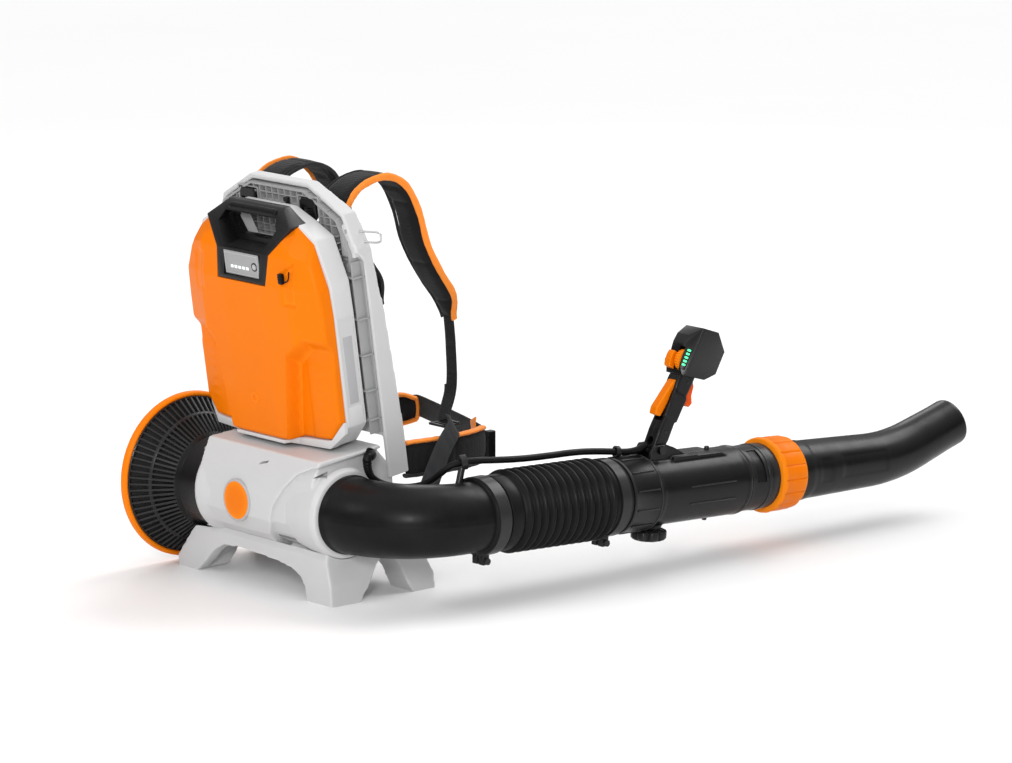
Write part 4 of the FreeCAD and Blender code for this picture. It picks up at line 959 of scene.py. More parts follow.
def fan_housing():
    """Front shell raised by a few millimetres over a set-back side that carries the outlet ring."""
    core = prism_bm(moved_outline(-3.0, 5.0), "yz", HOUSING_X0 + 3, HOUSING_X1 - 7)
    skin = prism_bm(moved_outline(3.0, 0.0), "yz", HOUSING_X0, HOUSING_X1 + 0.8)
    view = prism_bm([(-100, 40), (44, 40)] + LEDGE + [(160, 240), (-100, 240)], "xz", -130, 80)
    for v in view.verts:
        v.co.z += max(0.0, v.co.y + 95) * 0.15 if 100 < v.co.z < 200 else 0.0
    raised = carve(carve(skin, [behind_plate()]), [view], "INTERSECT")
    lip = [(96, 0.1), (96, 55.5), (120, 58.5), (150, 60.5), (156.5, 57.5), (157.2, 52.0), (157.2, 0.1)]
    ring = lathe_bm(lip, FAN_AXIS, 96)
    flare = lathe_bm([(-92, 0.1), (-92, 62.5), (-86, 64.5), (-76, 63), (-50, 56), (-50, 0.1)], FAN_AXIS, 96)
    tail = prism_bm([(-80, 57), (54, 57), (54, 66), (-70, 66)], "yz", 60, HOUSING_X1)
    core = carve(core, [behind_plate()])
    whole = sculpt(added(core, raised, ring, flare, tail), 1.6, 4)
    slot = prism_bm([(-7, -3.6), (7, 1.0), (8.5, 4.6), (-5, 0.4)], "xz", -8, 12)
    bmesh.ops.rotate(slot, verts=slot.verts, cent=(0, 0, 0), matrix=Matrix.Rotation(radians(-28), 3, "Z"))
    bmesh.ops.translate(slot, verts=slot.verts, vec=(35, -103, 174))
    triangle = prism_bm([(-9, -3.5), (8, 3.4), (11, -3.5)], "xz", -12, 12)
    bmesh.ops.rotate(triangle, verts=triangle.verts, cent=(0, 0, 0),
                     matrix=Matrix.Rotation(radians(38), 3, "Z"))
    bmesh.ops.translate(triangle, verts=triangle.verts, vec=(138, -84, 172))
    low_slot = prism_bm([(134, -71), (150, -71), (150, -53), (142, -53)], "xy", 67.5, 71.5)
    bore = rod_bm(ELBOW_SPIGOT, (130, FAN_Y, FAN_Z), (170, FAN_Y, FAN_Z), 96)
    mouth = rod_bm(60.6, (-110, FAN_Y, FAN_Z), (-80, FAN_Y, FAN_Z), 96)
    whole = carve(whole, [slot, triangle, low_slot, bore, mouth])
    front = half(whole, (0, SEAM_Y - 0.15, 0), (0, 1, 0))
    rear = half(whole, (0, SEAM_Y + 0.15, 0), (0, -1, 0))
    whole.free()
    front = piece("fan_housing_front_shell", mesh_of(front), WHITE, "pack", 40)
    rear = piece("fan_housing_rear_shell", mesh_of(rear), WHITE, "pack", 40)
    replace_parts(front, "fan_housing_front", "outlet_collar")
    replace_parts(rear, "fan_housing_rear")


def badge():
    """Blank round plate: a light rim round an orange disc, a little domed."""
    axis = (Vector((-4, -109.6, 119)), Vector((0, -1, 0)), UP)
    rim = rounded_profile([(-1.5, 25), (-1.5, 28.4), (2.6, 28.4), (3.4, 27), (3.2, 25)], 0.5)
    piece("badge_rim", lathe(rim, axis, 72, None, True), LIGHT_GREY, "pack")
    disc = [(-1, 25.6), (2.8, 25.6), (3.3, 25), (3.8, 17), (4.1, 9), (4.2, 0.4)]
    disc = piece("badge_disc", lathe(disc, axis, 72, None, False), ORANGE, "pack")
    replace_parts(disc, "badge")


# ---- base frame --------------------------------------------------------------------------------------
def base_frame():
    """Bridge on four splayed feet, arched between them on every side."""
    front = [(-165.5, -3), (-126, -3), (-104, 16), (-84, 34), (-66, 44), (-30, 47), (50, 43), (82, 38),
             (99, 30),
             (109, 17), (113, -3), (165.5, -3), (161.5, 30), (150, 75), (-112, 75), (-136, 50),
             (-165.5, 15)]
    side = [(-88, -3), (-42, -3), (-24, 18), (-6, 44), (6, 55), (16, 55), (28, 44), (40, 18), (52, -3),
            (88, -3),
            (88, 20), (64, 75), (-80, 75), (-88, 60)]
    arch = carve(prism_bm(front, "xz", -100, 100), [prism_bm(side, "yz", -170, 170)], "INTERSECT")
    hollow = [(-118, 30), (-90, 55), (-60, 66), (60, 66), (95, 55), (118, 30), (118, -5), (-118, -5)]
    arch = carve(arch, [prism_bm(hollow, "xz", -70, 66)])
    shape = sculpt(arch, 2.0, 5)
    for v in shape.verts:
        v.co.z = max(0.0, v.co.z - 0.6) if v.co.z < 20 else v.co.z
    barrel = rod_bm(60.0, (-120, FAN_Y, FAN_Z), (170, FAN_Y, FAN_Z), 96)
    cage = lathe_bm([(-200, 0.1), (-200, 122), (-180, 115), (-125, 67), (-80, 63), (-80, 0.1)], FAN_AXIS,
                    96)
    room = prism_bm(rectangle(-100, -60, 146.4, 54), "xy", 60, 90)
    shape = carve(shape, [barrel, cage, room])
    made = piece("base_frame_shell", mesh_of(shape), WHITE, "pack", 40)
    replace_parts(made, "base_frame")
    pads = [prism(rectangle(x - 14, y - 9, x + 14, y + 9), "xy", 0.0, 1.2, 0.5)
            for x in (-143, 143) for y in (-71, 71)]
    piece("foot_pads", merged(pads), RUBBER, "pack")


# ---- air intake --------------------------------------------------------------------------------------
BARS = 72


def intake_cage():
    """Black dish: a plain neck, then long slots between thin deep bars."""
    neck = [(-84.5, 60.2), (-97, 60.4), (-128, 60.8), (-133.5, 65.0), (-136, 65.0), (-135, 60.5),
            (-128, 57.5),
            (-84.5, 57.5)]
    lip = [(-179, 105.0), (-183.5, 109.0), (-183.5, 104.0), (-180, 101.5)]
    hoop = [(-156.5, 85.1), (-160, 88.2), (-160.5, 85.2), (-157, 82.0)]
    rings = [lathe(rounded_profile(p, 0.6, 2), FAN_AXIS, 144) for p in (neck, lip, hoop)]
    bars = bmesh.new()
    for k in range(BARS):
        turn = Matrix.Translation((0, FAN_Y, FAN_Z)) @ Matrix.Rotation(2 * pi * k / BARS, 4, "X")
        stations = [(-133, 65.0, 1.9), (-157, 85.9, 1.5), (-181.5, 107.5, 1.5)]
        rows = []
        for x, r, width in stations:
            section = [(-width, -0.9), (-width * 0.6, 0.0), (width * 0.6, 0.0), (width, -0.9),
                       (width * 0.5, -9.0),
                       (-width * 0.5, -9.0)]
            rows.append([bars.verts.new(turn @ Vector((x + 0.62 * out * 0.66, across, r + out * 0.75)))
                         for across, out in section])
        for a, b in zip(rows, rows[1:]):
            for i in range(6):
                j = (i + 1) % 6
                bars.faces.new((a[i], a[j], b[j], b[i]))
        bars.faces.new(rows[0])
        bars.faces.new(rows[-1])
    dish = piece("intake_dish", merged(rings + [mesh_of(bars)]), BLACK, "pack", 35)
    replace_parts(dish, "intake_cage")
    screen = [(-134, 55.5), (-181.5, 103.2), (-182.5, 102.4), (-134.6, 54.2)]
    piece("intake_screen", lathe(screen, FAN_AXIS, 96), SCREEN, "pack")
    head = rounded_profile([(-2, 0.1), (-2, 4.0), (1.2, 4.0), (2.0, 2.6), (2.0, 0.1)], 0.5)
    for turn in (-62, 58, 180):
        out = Vector((0, -cos(radians(turn)), sin(radians(turn))))
        spot = (Vector((-103, FAN_Y, FAN_Z)) + out * 61.0, out, RIGHT)
        piece("neck_screw_%d" % (turn % 360), lathe(head, spot, 24), STEEL, "pack")


def intake_rim():
    """Orange ring round the mouth of the dish."""
    section = [(-182.0, 105.0), (-178.5, 109.2), (-181.0, 112.6), (-187.0, 113.0), (-191.0, 111.2),
               (-192.0, 108.0),
               (-190.5, 104.5), (-187.0, 103.5)]
    rim = lathe(rounded_profile(section, 1.5, 3), FAN_AXIS, 144)
    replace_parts(piece("intake_rim_ring", rim, ORANGE, "pack"), "intake_rim")


def intake_grille():
    """Outer guard: spokes and rings inside the orange rim."""
    meshes = [lathe(rounded_profile([(-189.5, r), (-189.5, r - 2.4), (-184.5, r - 2.4), (-184.5, r)], 0.6,
                                    2),
                    FAN_AXIS, 96) for r in (104.5, 92, 79, 66, 53, 40, 27)]
    for k in range(24):
        inner = 12 if k % 2 == 0 else 38
        spoke = prism_bm(rectangle(-188.8, -1.1, -185, 1.1), "xy", inner, 103)
        round_edges(spoke, 0.4, 2)
        turn = Matrix.Translation((0, FAN_Y, FAN_Z)) @ Matrix.Rotation(2 * pi * k / 24, 4, "X")
        bmesh.ops.transform(spoke, verts=spoke.verts, matrix=turn)
        meshes.append(mesh_of(spoke))
    hub = [(-184.5, 14.0), (-189.0, 14.0), (-191.0, 12.0), (-191.6, 7.0), (-191.8, 0.4)]
    meshes.append(lathe(hub, FAN_AXIS, 48, None, False))
    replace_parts(piece("intake_guard", merged(meshes), BLACK, "pack"), "intake_grille")


fan_housing()
badge()
base_frame()
intake_cage()
intake_rim()
intake_grille()


# ---- elbow, hose and blow tube -----------------------------------------------------------------------
BEND_R, MOUTH_X = 113.0, 162.0
KNOB_Y = 372.0


def pipe_along(points, radii, wall, count, wave):
    """A hollow pipe with a radius at each point; the wave adds to the outside."""
    bm = bmesh.new()
    outer, inner = [], []
    total = len(points)
    for i, here in enumerate(points):
        ahead = (points[min(i + 1, total - 1)] - points[max(i - 1, 0)]).normalized()
        side, top = frame_for(ahead, UP)
        for rings, less in ((outer, 0.0), (inner, wall)):
            ring = []
            for k in range(count):
                turn = 2 * pi * k / count
                extra = 0.0 if less else wave(i, turn)
                spoke = side * sin(turn) + top * cos(turn)
                ring.append(bm.verts.new(here + spoke * (radii[i] - less + extra)))
            rings.append(ring)
    loops = outer + inner[::-1]
    for a, b in zip(loops, loops[1:] + loops[:1]):
        for k in range(count):
            j = (k + 1) % count
            bm.faces.new((a[k], a[j], b[j], b[k]))
    return bm


def elbow():
    """Quarter bend with a bead at its mouth and a parting line."""
    points, radii = [], []
    for x, r in ((144, 51.0), (157.4, 51.0), (158.2, 52.4), (161.5, 52.4), (162.6, 51.2)):
        points.append(Vector((x, FAN_Y, FAN_Z)))
        radii.append(r)
    count = 32
    for k in range(1, count + 1):
        turn = pi / 2 * k / count
        points.append(Vector((MOUTH_X + BEND_R * sin(turn), FAN_Y + BEND_R * (1 - cos(turn)), FAN_Z)))
        radii.append(51.0 - 5.0 * k / count)
    for y, r in ((61.8, 49.4), (62.6, 50.0), (84, 50.0)):
        points.append(Vector((TUBE_X, y, FAN_Z)))
        radii.append(r)

    def seam(i, turn):
        near = min(abs(turn - pi / 2), abs(turn - 3 * pi / 2))
        return 0.5 * max(0.0, 1 - near / 0.05) if 5 < i < count + 4 else 0.0
    bm = pipe_along(points, radii, 3.0, 128, seam)
    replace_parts(piece("elbow_bend", mesh_of(bm), RUBBER, "elbow", 40), "elbow")


def bellows():
    """Corrugated hose between two smooth cuffs."""
    profile = [(86, 49.9), (87, 50.5), (104, 50.5), (106, 50.2)]
    ridges, steps, low, high = 12, 10, 108.0, 268.0
    for k in range(ridges * steps + 1):
        crest = 0.5 - 0.5 * cos(2 * pi * k / steps)
        profile.append((low + (high - low) * k / (ridges * steps), 48.3 + 7.1 * crest ** 0.75))
    profile += [(270, 50.2), (272, 50.5), (297, 50.5), (298, 49.9)]
    profile += [(y, r - 2.0) for y, r in reversed(profile)]
    bm = lathe_bm(profile, TUBE_AXIS, 112)
    hinge = HINGE @ Matrix.Rotation(DROOP, 4, "X") @ HINGE.inverted()
    for v in bm.verts:
        if v.co.y > BELLOWS_Y0:
            v.co = hinge @ v.co
    hose = piece("bellows_hose", mesh_of(bm), HOSE, None, 60)
    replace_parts(hose, "bellows")
    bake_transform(hose)


def tube_rib(y0, y1, r0, r1, turn, half=1.0, by=0.7):
    """Rib along the tube, `turn` radians from its top."""
    bm = prism_bm(rectangle(TUBE_X - half, y0, TUBE_X + half, y1), "xy",
                  FAN_Z + r0, FAN_Z + r1)
    round_edges(bm, by, 2)
    bmesh.ops.rotate(bm, verts=bm.verts, cent=(TUBE_X, 0, FAN_Z), matrix=Matrix.Rotation(turn, 3, "Y"))
    return bm


def blower_tube():
    """Sleeve with long ribs, hidden core and the stub for the nozzle."""
    outer = [(272, 48.0), (273, 48.4), (298.6, 48.4), (299.4, 50.8), (301, 51.6), (303, 51.6), (304, 51.0),
             (347, 51.0), (348, 51.8), (350, 51.8), (351.5, 49.8), (352, 44.0), (519.4, 44.0), (520, 45.2),
             (522, 46.0), (524, 46.0), (525, 45.0), (552, 45.0), (553, 45.9), (557, 45.9), (558, 45.0),
             (573, 45.0)]
    bm = lathe_bm(outer + [(573, 41.2), (272, 41.2)], TUBE_AXIS, 128)
    slots = [tube_rib(529, 547, 42.6, 48, turn, 9, 0.6) for turn in (0.62, 0.86, 1.1, 1.34)]
    bm = carve(bm, slots)
    meshes = [mesh_of(bm, DROOPING)]
    for k in range(12):
        turn = radians(30 * k + 15)
        meshes.append(mesh_of(tube_rib(306, 345, 50.4, 52.2, turn), DROOPING))
    sleeve = merged(meshes)
    eye = [Vector(CABLE_GUIDE) + Vector(o) for o in ((-0.7, -3.4, 0.45), (0.7, 3.4, -0.45))]
    along = (eye[1] - eye[0]).normalized()
    ring = rounded_profile([(-3.2, 5.3), (-3.2, 8.0), (3.2, 8.0), (3.2, 5.3)], 0.9)
    eye_mesh = lathe(ring, (Vector(CABLE_GUIDE), along, UP), 40)
    foot = rod(3.0, Vector(CABLE_GUIDE) + Vector((1, 0, -12)), Vector(CABLE_GUIDE) + Vector((0.4, 0, -6)),
               0.3, 20,
               ROW, 2.6)
    whole = piece("blow_tube_sleeve", merged([sleeve, eye_mesh, foot]), BLACK, "tube", 38)
    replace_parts(whole, "blower_tube")


def bracket():
    """Half shells round the tube that swell into the grip's saddle and the knob's boss."""
    shell = lathe_bm([(353, 42), (353, 46.0), (354.5, 47.6), (359, 47.6), (360, 47.0), (512, 47.0),
                      (513, 47.8),
                      (517.5, 47.8), (519, 46.4), (519, 42)], TUBE_AXIS, 128)
    saddle = prism_bm([(353.4, 140), (356, 172), (364, 182.5), (384, 182.5), (399, 177), (416, 168),
                       (440, 163),
                       (440, 140)], "yz", TUBE_X - 17.8, TUBE_X + 17.8)
    panel = prism_bm([(392, 140), (392, 165.4), (478, 164.2), (508, 150), (508, 140)], "yz", TUBE_X - 24.5,
                     TUBE_X + 24.5)
    boss = lathe_bm([(-51, 0.1), (-51, 16.5), (-44, 17.5), (-36, 22), (-36, 0.1)],
                    (Vector((TUBE_X, KNOB_Y, FAN_Z)), UP, FORWARD), 64)
    bm = sculpt(added(shell, saddle, panel, boss), 1.6, 3)
    pivot = HINGE @ Matrix.Rotation(-DROOP, 4, "X") @ HINGE.inverted() @ PIVOT
    fork = prism_bm(rectangle(TUBE_X - 12.7, 340, TUBE_X + 12.7, 402), "xy",
                    FAN_Z + 46.8, 260)
    bolt = rod_bm(4.0, pivot - Vector((30, 0, 0)), pivot + Vector((30, 0, 0)), 32)
    bore = rod_bm(44.3, (TUBE_X, 340, FAN_Z), (TUBE_X, 530, FAN_Z), 96)
    thread = rod_bm(4.3, (TUBE_X, KNOB_Y, FAN_Z - 60), (TUBE_X, KNOB_Y, FAN_Z - 40), 24)
    meshes = [mesh_of(carve(bm, [fork, bolt, bore, thread]), DROOPING)]
    for side in (-1, 1):
        for turn in (79, 108):
            rib = tube_rib(404, 488, 46.2, 48.4, side * radians(turn), 1.1, 0.8)
            meshes.append(mesh_of(rib, DROOPING))
    for up in (-1, 1):
        nub = rod_bm(4.0, (TUBE_X, 474, FAN_Z + up * 43), (TUBE_X, 474, FAN_Z + up * 51), 24, 3.2)
        round_edges(nub, 0.8, 2, 50)
        meshes.append(mesh_of(nub, DROOPING))
    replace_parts(piece("grip_bracket", merged(meshes), BLACK, "tube", 38), "handle_bracket")


def knob():
    """Star knob with soft lobes, and its stud."""
    axis = (Vector((TUBE_X, KNOB_Y, FAN_Z)), UP, FORWARD)
    profile = [(-67, 0.1), (-67, 14), (-66.2, 15.5), (-66.6, 19), (-65, 22.6), (-62.5, 24.8), (-56, 25),
               (-53.6, 23.8),
               (-51.9, 20), (-51.9, 0.1)]
    bm = lathe_bm(profile, axis, 160)
    for v in bm.verts:
        flat = Vector((v.co.x - TUBE_X, v.co.y - KNOB_Y))
        if flat.length > 17:
            turn = atan2(flat.x, flat.y)
            share = smooth_step((flat.length - 17) / 6)
            flat *= 1 - 3.6 * (0.5 + 0.5 * cos(8 * turn)) ** 3 * share / flat.length
            v.co.x, v.co.y = TUBE_X + flat.x, KNOB_Y + flat.y
    stud = rod(4.0, (TUBE_X, KNOB_Y, FAN_Z - 54), (TUBE_X, KNOB_Y, FAN_Z - 45.6), 0.5, 24, DROOPING)
    star = piece("clamp_star_knob", merged([mesh_of(bm, DROOPING), stud]), BLACK, "knob",
                 38)
    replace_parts(star, "clamp_knob")


def locking_ring():
    """Orange bayonet ring: sixteen flats parted by narrow grooves."""
    bore = 41.3
    profile = [(574, bore), (574, 48.6), (575, 50.4), (577.5, 51.8), (581, 51.8), (582.5, 50.9),
               (600, 50.9),
               (616, 50.4), (619.5, 49.6), (622.4, 47.4), (623, 45.8), (623, bore)]

    def grip(along, turn):
        if not 580 < along < 621:
            return 0.0
        place = (turn * 16 / (2 * pi)) % 1.0
        near = min(place, 1 - place)
        return -1.3 * smooth_step(1 - near / 0.085) + 0.5 * sin(pi * place) ** 2
    bm = lathe_bm(profile, TUBE_AXIS, 256)
    for v in bm.verts:
        flat = Vector((v.co.x - TUBE_X, v.co.z - FAN_Z))
        if flat.length > 46.5:
            flat *= 1 + grip(v.co.y, atan2(flat.x, flat.y) % (2 * pi)) / flat.length
            v.co.x, v.co.z = TUBE_X + flat.x, FAN_Z + flat.y
    ring = piece("bayonet_ring", mesh_of(bm, DROOPING), ORANGE, "ring", 32)
    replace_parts(ring, "locking_ring")


def nozzle():
    """Tapering nozzle with an upturned end; shallow panels on its sides."""
    bend_y, bend_r, bend, end = 780.0, 300.0, radians(18), 926.0
    start_r, end_r = 41.0, 33.5
    stations = [490 + 10 * k for k in range(13)] + [612, 618, 623.4, 624.2, 626, 628]
    stations += [632 + 4 * k for k in range(80)] + [951, 952, 953]
    points, radii = [], []
    for y in stations:
        past = y - bend_y
        if past <= 0:
            points.append(Vector((TUBE_X, y, FAN_Z)))
        else:
            turn = min(past / bend_r, bend)
            rest = past - turn * bend_r
            points.append(Vector((TUBE_X, bend_y + bend_r * sin(turn) + rest * cos(turn),
                                  FAN_Z + bend_r * (1 - cos(turn)) + rest * sin(turn))))
        r = start_r + (end_r - start_r) * min(1.0, max(0.0, (y - 640) / (end - 640)))
        r += 1.0 * smooth_step((y - 623.4) / 2) * smooth_step((648 - y) / 4)
        r -= 0.5 * smooth_step((y - 951) / 2)
        radii.append(r)

    def panels(i, turn):
        y, out = stations[i], 0.0
        turn = min(turn, 2 * pi - turn)
        for y0, y1, a0, a1 in ((656, 682, 58, 112), (700, 792, 55, 108)):
            share = min((y - y0) / 4, (y1 - y) / 4, (degrees(turn) - a0) / 5, (a1 - degrees(turn)) / 5)
            out -= 0.9 * smooth_step(share)
        return out
    bm = pipe_along(points, radii, 2.5, 120, panels)
    pins = [tube_rib(560, 566, 38, 40.9, side * pi / 2, 2, 0.5) for side in (-1, 1)]
    for pin in pins:
        mesh = bpy.data.meshes.new("pin")
        pin.to_mesh(mesh)
        pin.free()
        bm.from_mesh(mesh)
    pipe = piece("nozzle_pipe", mesh_of(bm, DROOPING), BLACK, "nozzle", 40)
    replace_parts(pipe, "nozzle")


elbow()
bellows()
blower_tube()
bracket()
knob()
locking_ring()
nozzle()


# ---- grip and control head ---------------------------------------------------------------------------
GRIP_SIDE = [(-9, -4), (-5, -9), (5, -9), (9, -4), (12, 18), (10, 56), (14, 102), (14, 114), (-13, 107),
             (-14, 96), (-10, 56), (-11, 25)]
GRIP_HALF, HEAD_HALF, LEVER_HALF = 12.0, 17.0, 6.6
TRIGGER_PIN, LEVER_PIN = (9, 103), (-9.5, 89)
HEAD_SIDE = [(-18.5, 112), (-14, 103.6), (25, 113), (40.5, 128), (40.5, 161), (17, 179.4), (-12, 173.6),
             (-22, 158), (-23.5, 146)]
DIAL_Y, DIAL_Z = -10.5, 125.0


def box_bm(x0, y0, z0, x1, y1, z1):
    """A plain box for cutting."""
    return prism_bm(rectangle(x0, y0, x1, y1), "xy", z0, z1)


def grip_halves():
    """Rounded handle in two shells, with a seam down its middle."""
    body = prism_bm(GRIP_SIDE, "yz", -GRIP_HALF, GRIP_HALF)
    palm = prism_bm([(-12.5, 44), (12, 44), (13.5, 80), (-13.5, 80)], "yz", -GRIP_HALF - 0.8,
                    GRIP_HALF + 0.8)
    round_edges(body, 4.0, 3)
    body = sculpt(added(body, palm), 1.3, 4)
    rooms = [box_bm(-7, 4, 67, 7, 19, 108.5), box_bm(-7, -24, 37, 7, -2, 96),
             rod_bm(5.8, (0, -30, -7), (0, 2, 15.5), 32), rod_bm(3.2, (-30, 0, 0), (30, 0, 0), 32)]
    body = carve(body, rooms)
    for sign, name in ((1, "left"), (-1, "right")):
        shell = half(body, (-sign * 0.15, 0, 0), (sign, 0, 0))
        made = piece("grip_shell_" + name, mesh_of(shell, GRIPPED), BLACK, "grip", 38)
        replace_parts(made, "grip_" + name)
    body.free()
    screws = [rod(2.6, (GRIP_HALF - 1.0, y, z), (GRIP_HALF + 0.35, y, z), 0.3, 20, GRIPPED) for y, z in
              ((0, 26), (0, 60), (3, 99))]
    piece("grip_screws", merged(screws), DARK_STEEL, "grip")


def head():
    """Control head: its back is cut away towards the thumb side."""
    body = prism_bm(HEAD_SIDE, "yz", -HEAD_HALF, HEAD_HALF)
    slant = prism_bm([(3.5, -40), (3.5, -24.5), (17.2, -11.5), (30, -2), (30, -40)], "xy", 90, 190)
    body = carve(body, [slant])
    round_edges(body, 2.4, 3, 24)
    rooms = [box_bm(-1.5, -60, DIAL_Z - 16, 7.5, 6, DIAL_Z + 16),
             box_bm(-14.5, -60, 108.5, -2.5, -7, 132.5)]
    body = carve(body, rooms)
    shell = piece("control_head", mesh_of(body, GRIPPED), BLACK, "grip", 30)
    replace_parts(shell, "head_shell")
    # Painted highlight: a thin raised strip of lighter black along the edge between the slanted back and
    # the side.
    corner = [Vector((16.9, -11.9, z)) for z in (105.5, 128, 150, 173)]
    line = sweep(corner, round_section(0.7, 10), [RIGHT] * 4)
    piece("head_edge_highlight_line", mesh_of(line, GRIPPED), EDGE_HIGHLIGHT_BLACK, "grip", 60)
    tilt = Matrix.Translation((12.2, -16.6, 126)) @ Matrix.Rotation(atan2(13.0, 13.7), 4, "Z")
    panel = prism_bm(rectangle(-4.2, -15, 4.2, 16), "xz", -0.9, 2)
    round_edges(panel, 0.6, 2)
    bmesh.ops.transform(panel, verts=panel.verts, matrix=tilt)
    piece("lamp_panel", mesh_of(panel, GRIPPED), DARK, "grip")
    lamps = []
    for k in range(5):
        lamp = prism_bm(rectangle(-2.4, -10 + 5.2 * k, 2.4, -7.4 + 5.2 * k),
                        "xz", -1.5, 0)
        round_edges(lamp, 0.5, 2)
        bmesh.ops.transform(lamp, verts=lamp.verts, matrix=tilt)
        lamps.append(mesh_of(lamp, GRIPPED))
    piece("lamp_row", merged(lamps), LAMP, "grip")


def dial():
    """Knurled thumb wheel."""
    axis = (Vector((0, DIAL_Y, DIAL_Z)), RIGHT, UP)
    profile = rounded_profile([(-0.9, 0.4), (-0.9, 14.8), (6.9, 14.8), (6.9, 0.4)], 0.9, 2)
    bm = lathe_bm(profile, axis, 192)
    for v in bm.verts:
        flat = Vector((v.co.y - DIAL_Y, v.co.z - DIAL_Z))
        if flat.length > 13:
            flat *= 1 - 0.9 * (0.5 + 0.5 * cos(24 * atan2(flat.x, flat.y))) / flat.length
            v.co.y, v.co.z = DIAL_Y + flat.x, DIAL_Z + flat.y
    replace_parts(piece("speed_dial", mesh_of(bm, GRIPPED), ORANGE, "dial", 30), "dial")


def lever(side, pin, node, material):
    """Finger-shaped lever: a side view, softened, with the hole for its pin."""
    bm = sculpt(prism_bm(side, "yz", -LEVER_HALF, LEVER_HALF), 1.0, 4)
    bm = carve(bm, [rod_bm(1.6, (-20, pin[0], pin[1]), (20, pin[0], pin[1]), 20)])
    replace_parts(piece(node + "_blade", mesh_of(bm, GRIPPED), material, node, 38), node)


def levers():
    """Lock lever on the palm side, trigger in front, boost rocker on the head."""
    blade = [(-5.5, 91), (-10, 95.6), (-14.5, 95.6), (-17.5, 90), (-26.6, 50), (-24.6, 40.4), (-14.5, 41.4),
             (-12, 60), (-7, 84)]
    lever(blade, LEVER_PIN, "lock_lever", ORANGE)
    blade = [(5, 107.6), (15, 107.6), (22, 100), (24.3, 88), (30.4, 79), (27.4, 72), (16.3, 73), (12.5, 84),
             (10, 97),
             (5, 98.4)]
    lever(blade, TRIGGER_PIN, "trigger", RED)
    top = prism_bm([(-25.4, 109.2), (-29.6, 120), (-27.4, 131.9), (-12, 131.9), (-12, 109.2)], "yz", -14.0,
                   -3.0)
    groove = rod_bm(7.0, (-20, -35.4, 121), (5, -35.4, 121), 40)
    body = sculpt(carve(top, [groove]), 0.8, 3)
    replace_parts(piece("boost_rocker", mesh_of(body, GRIPPED), ORANGE, "rocker", 38),
                "rocker")


grip_halves()
head()
dial()
levers()


# ---- back plate --------------------------------------------------------------------------------------
PLATE_TOP, PLATE_HALF, PLATE_FRONT = 541.0, 150.0, 36.0
SPAR_FRONT = PANEL_Y = 45.0
LADDER_Z = (232, 271, 319, 368, 424)
PLATE_OUTLINE = [(62, PLATE_TOP), (126, 507), (146, 462), (PLATE_HALF, 385), (PLATE_HALF, 150)]
PLATE_INNER = [(59, PLATE_TOP - 7), (121, 502), (140, 459), (PLATE_HALF - 6, 384), (PLATE_HALF - 6, 150)]
LADDER_EDGE = [(150, 143.6), (384, 143.6), (458, 138.8), (501, 119.6), (532, 58)]
LATCH_X = 63.0
SLOT = [(34, 528), (34, 515)]


def latch_room(side):
    """Opening in the plate that a latch turns in."""
    x0, x1 = sorted((side * LATCH_X - 19, side * LATCH_X + 19))
    return prism_bm(rectangle(x0, 487, x1, 524), "xz", 25, 52)


def back_plate():
    """White tray with deep spars, a slot to carry it by, and screwed bosses on its spars."""
    side = [(SPAR_FRONT, 150), (SPAR_FRONT, 448), (PLATE_FRONT, 458), (PLATE_FRONT, 545), (52, 545),
            (59, 500),
            (65, 398), (67.5, 384), (78, 205), (78, 150)]
    body = prism_bm(mirrored(PLATE_OUTLINE), "xz", PLATE_FRONT, 80)
    body = carve(body, [prism_bm(side, "yz", -160, 160)], "INTERSECT")
    body = carve(body, [prism_bm(mirrored(PLATE_INNER), "xz", PLATE_FRONT - 1, 81)])
    panel = prism_bm(mirrored(PLATE_INNER[:-1] + [(PLATE_HALF - 5, 207)]), "xz", PANEL_Y, PANEL_Y + 3.6)
    bands = [prism_bm([(s * 116, 450), (s * 141.5, 450), (s * 138, 478), (s * 127, 492), (s * 116, 492)],
                      "xz", 34.6, 47)
             for s in (-1, 1)]
    body = sculpt(added(body, panel, *bands), 1.7, 3)
    cuts = [prism_bm(mirrored(SLOT), "xz", 30, 52)] + [latch_room(s) for s in (-1, 1)]
    cuts += [rod_bm(3.0, (s * 130, 30, z), (s * 130, 38.5, z), 20) for s in (-1, 1)
             for z in (455, 470, 485)]
    made = piece("back_plate_tray", mesh_of(carve(body, cuts), LEANING), WHITE, "pack", 36)
    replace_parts(made, "back_plate")


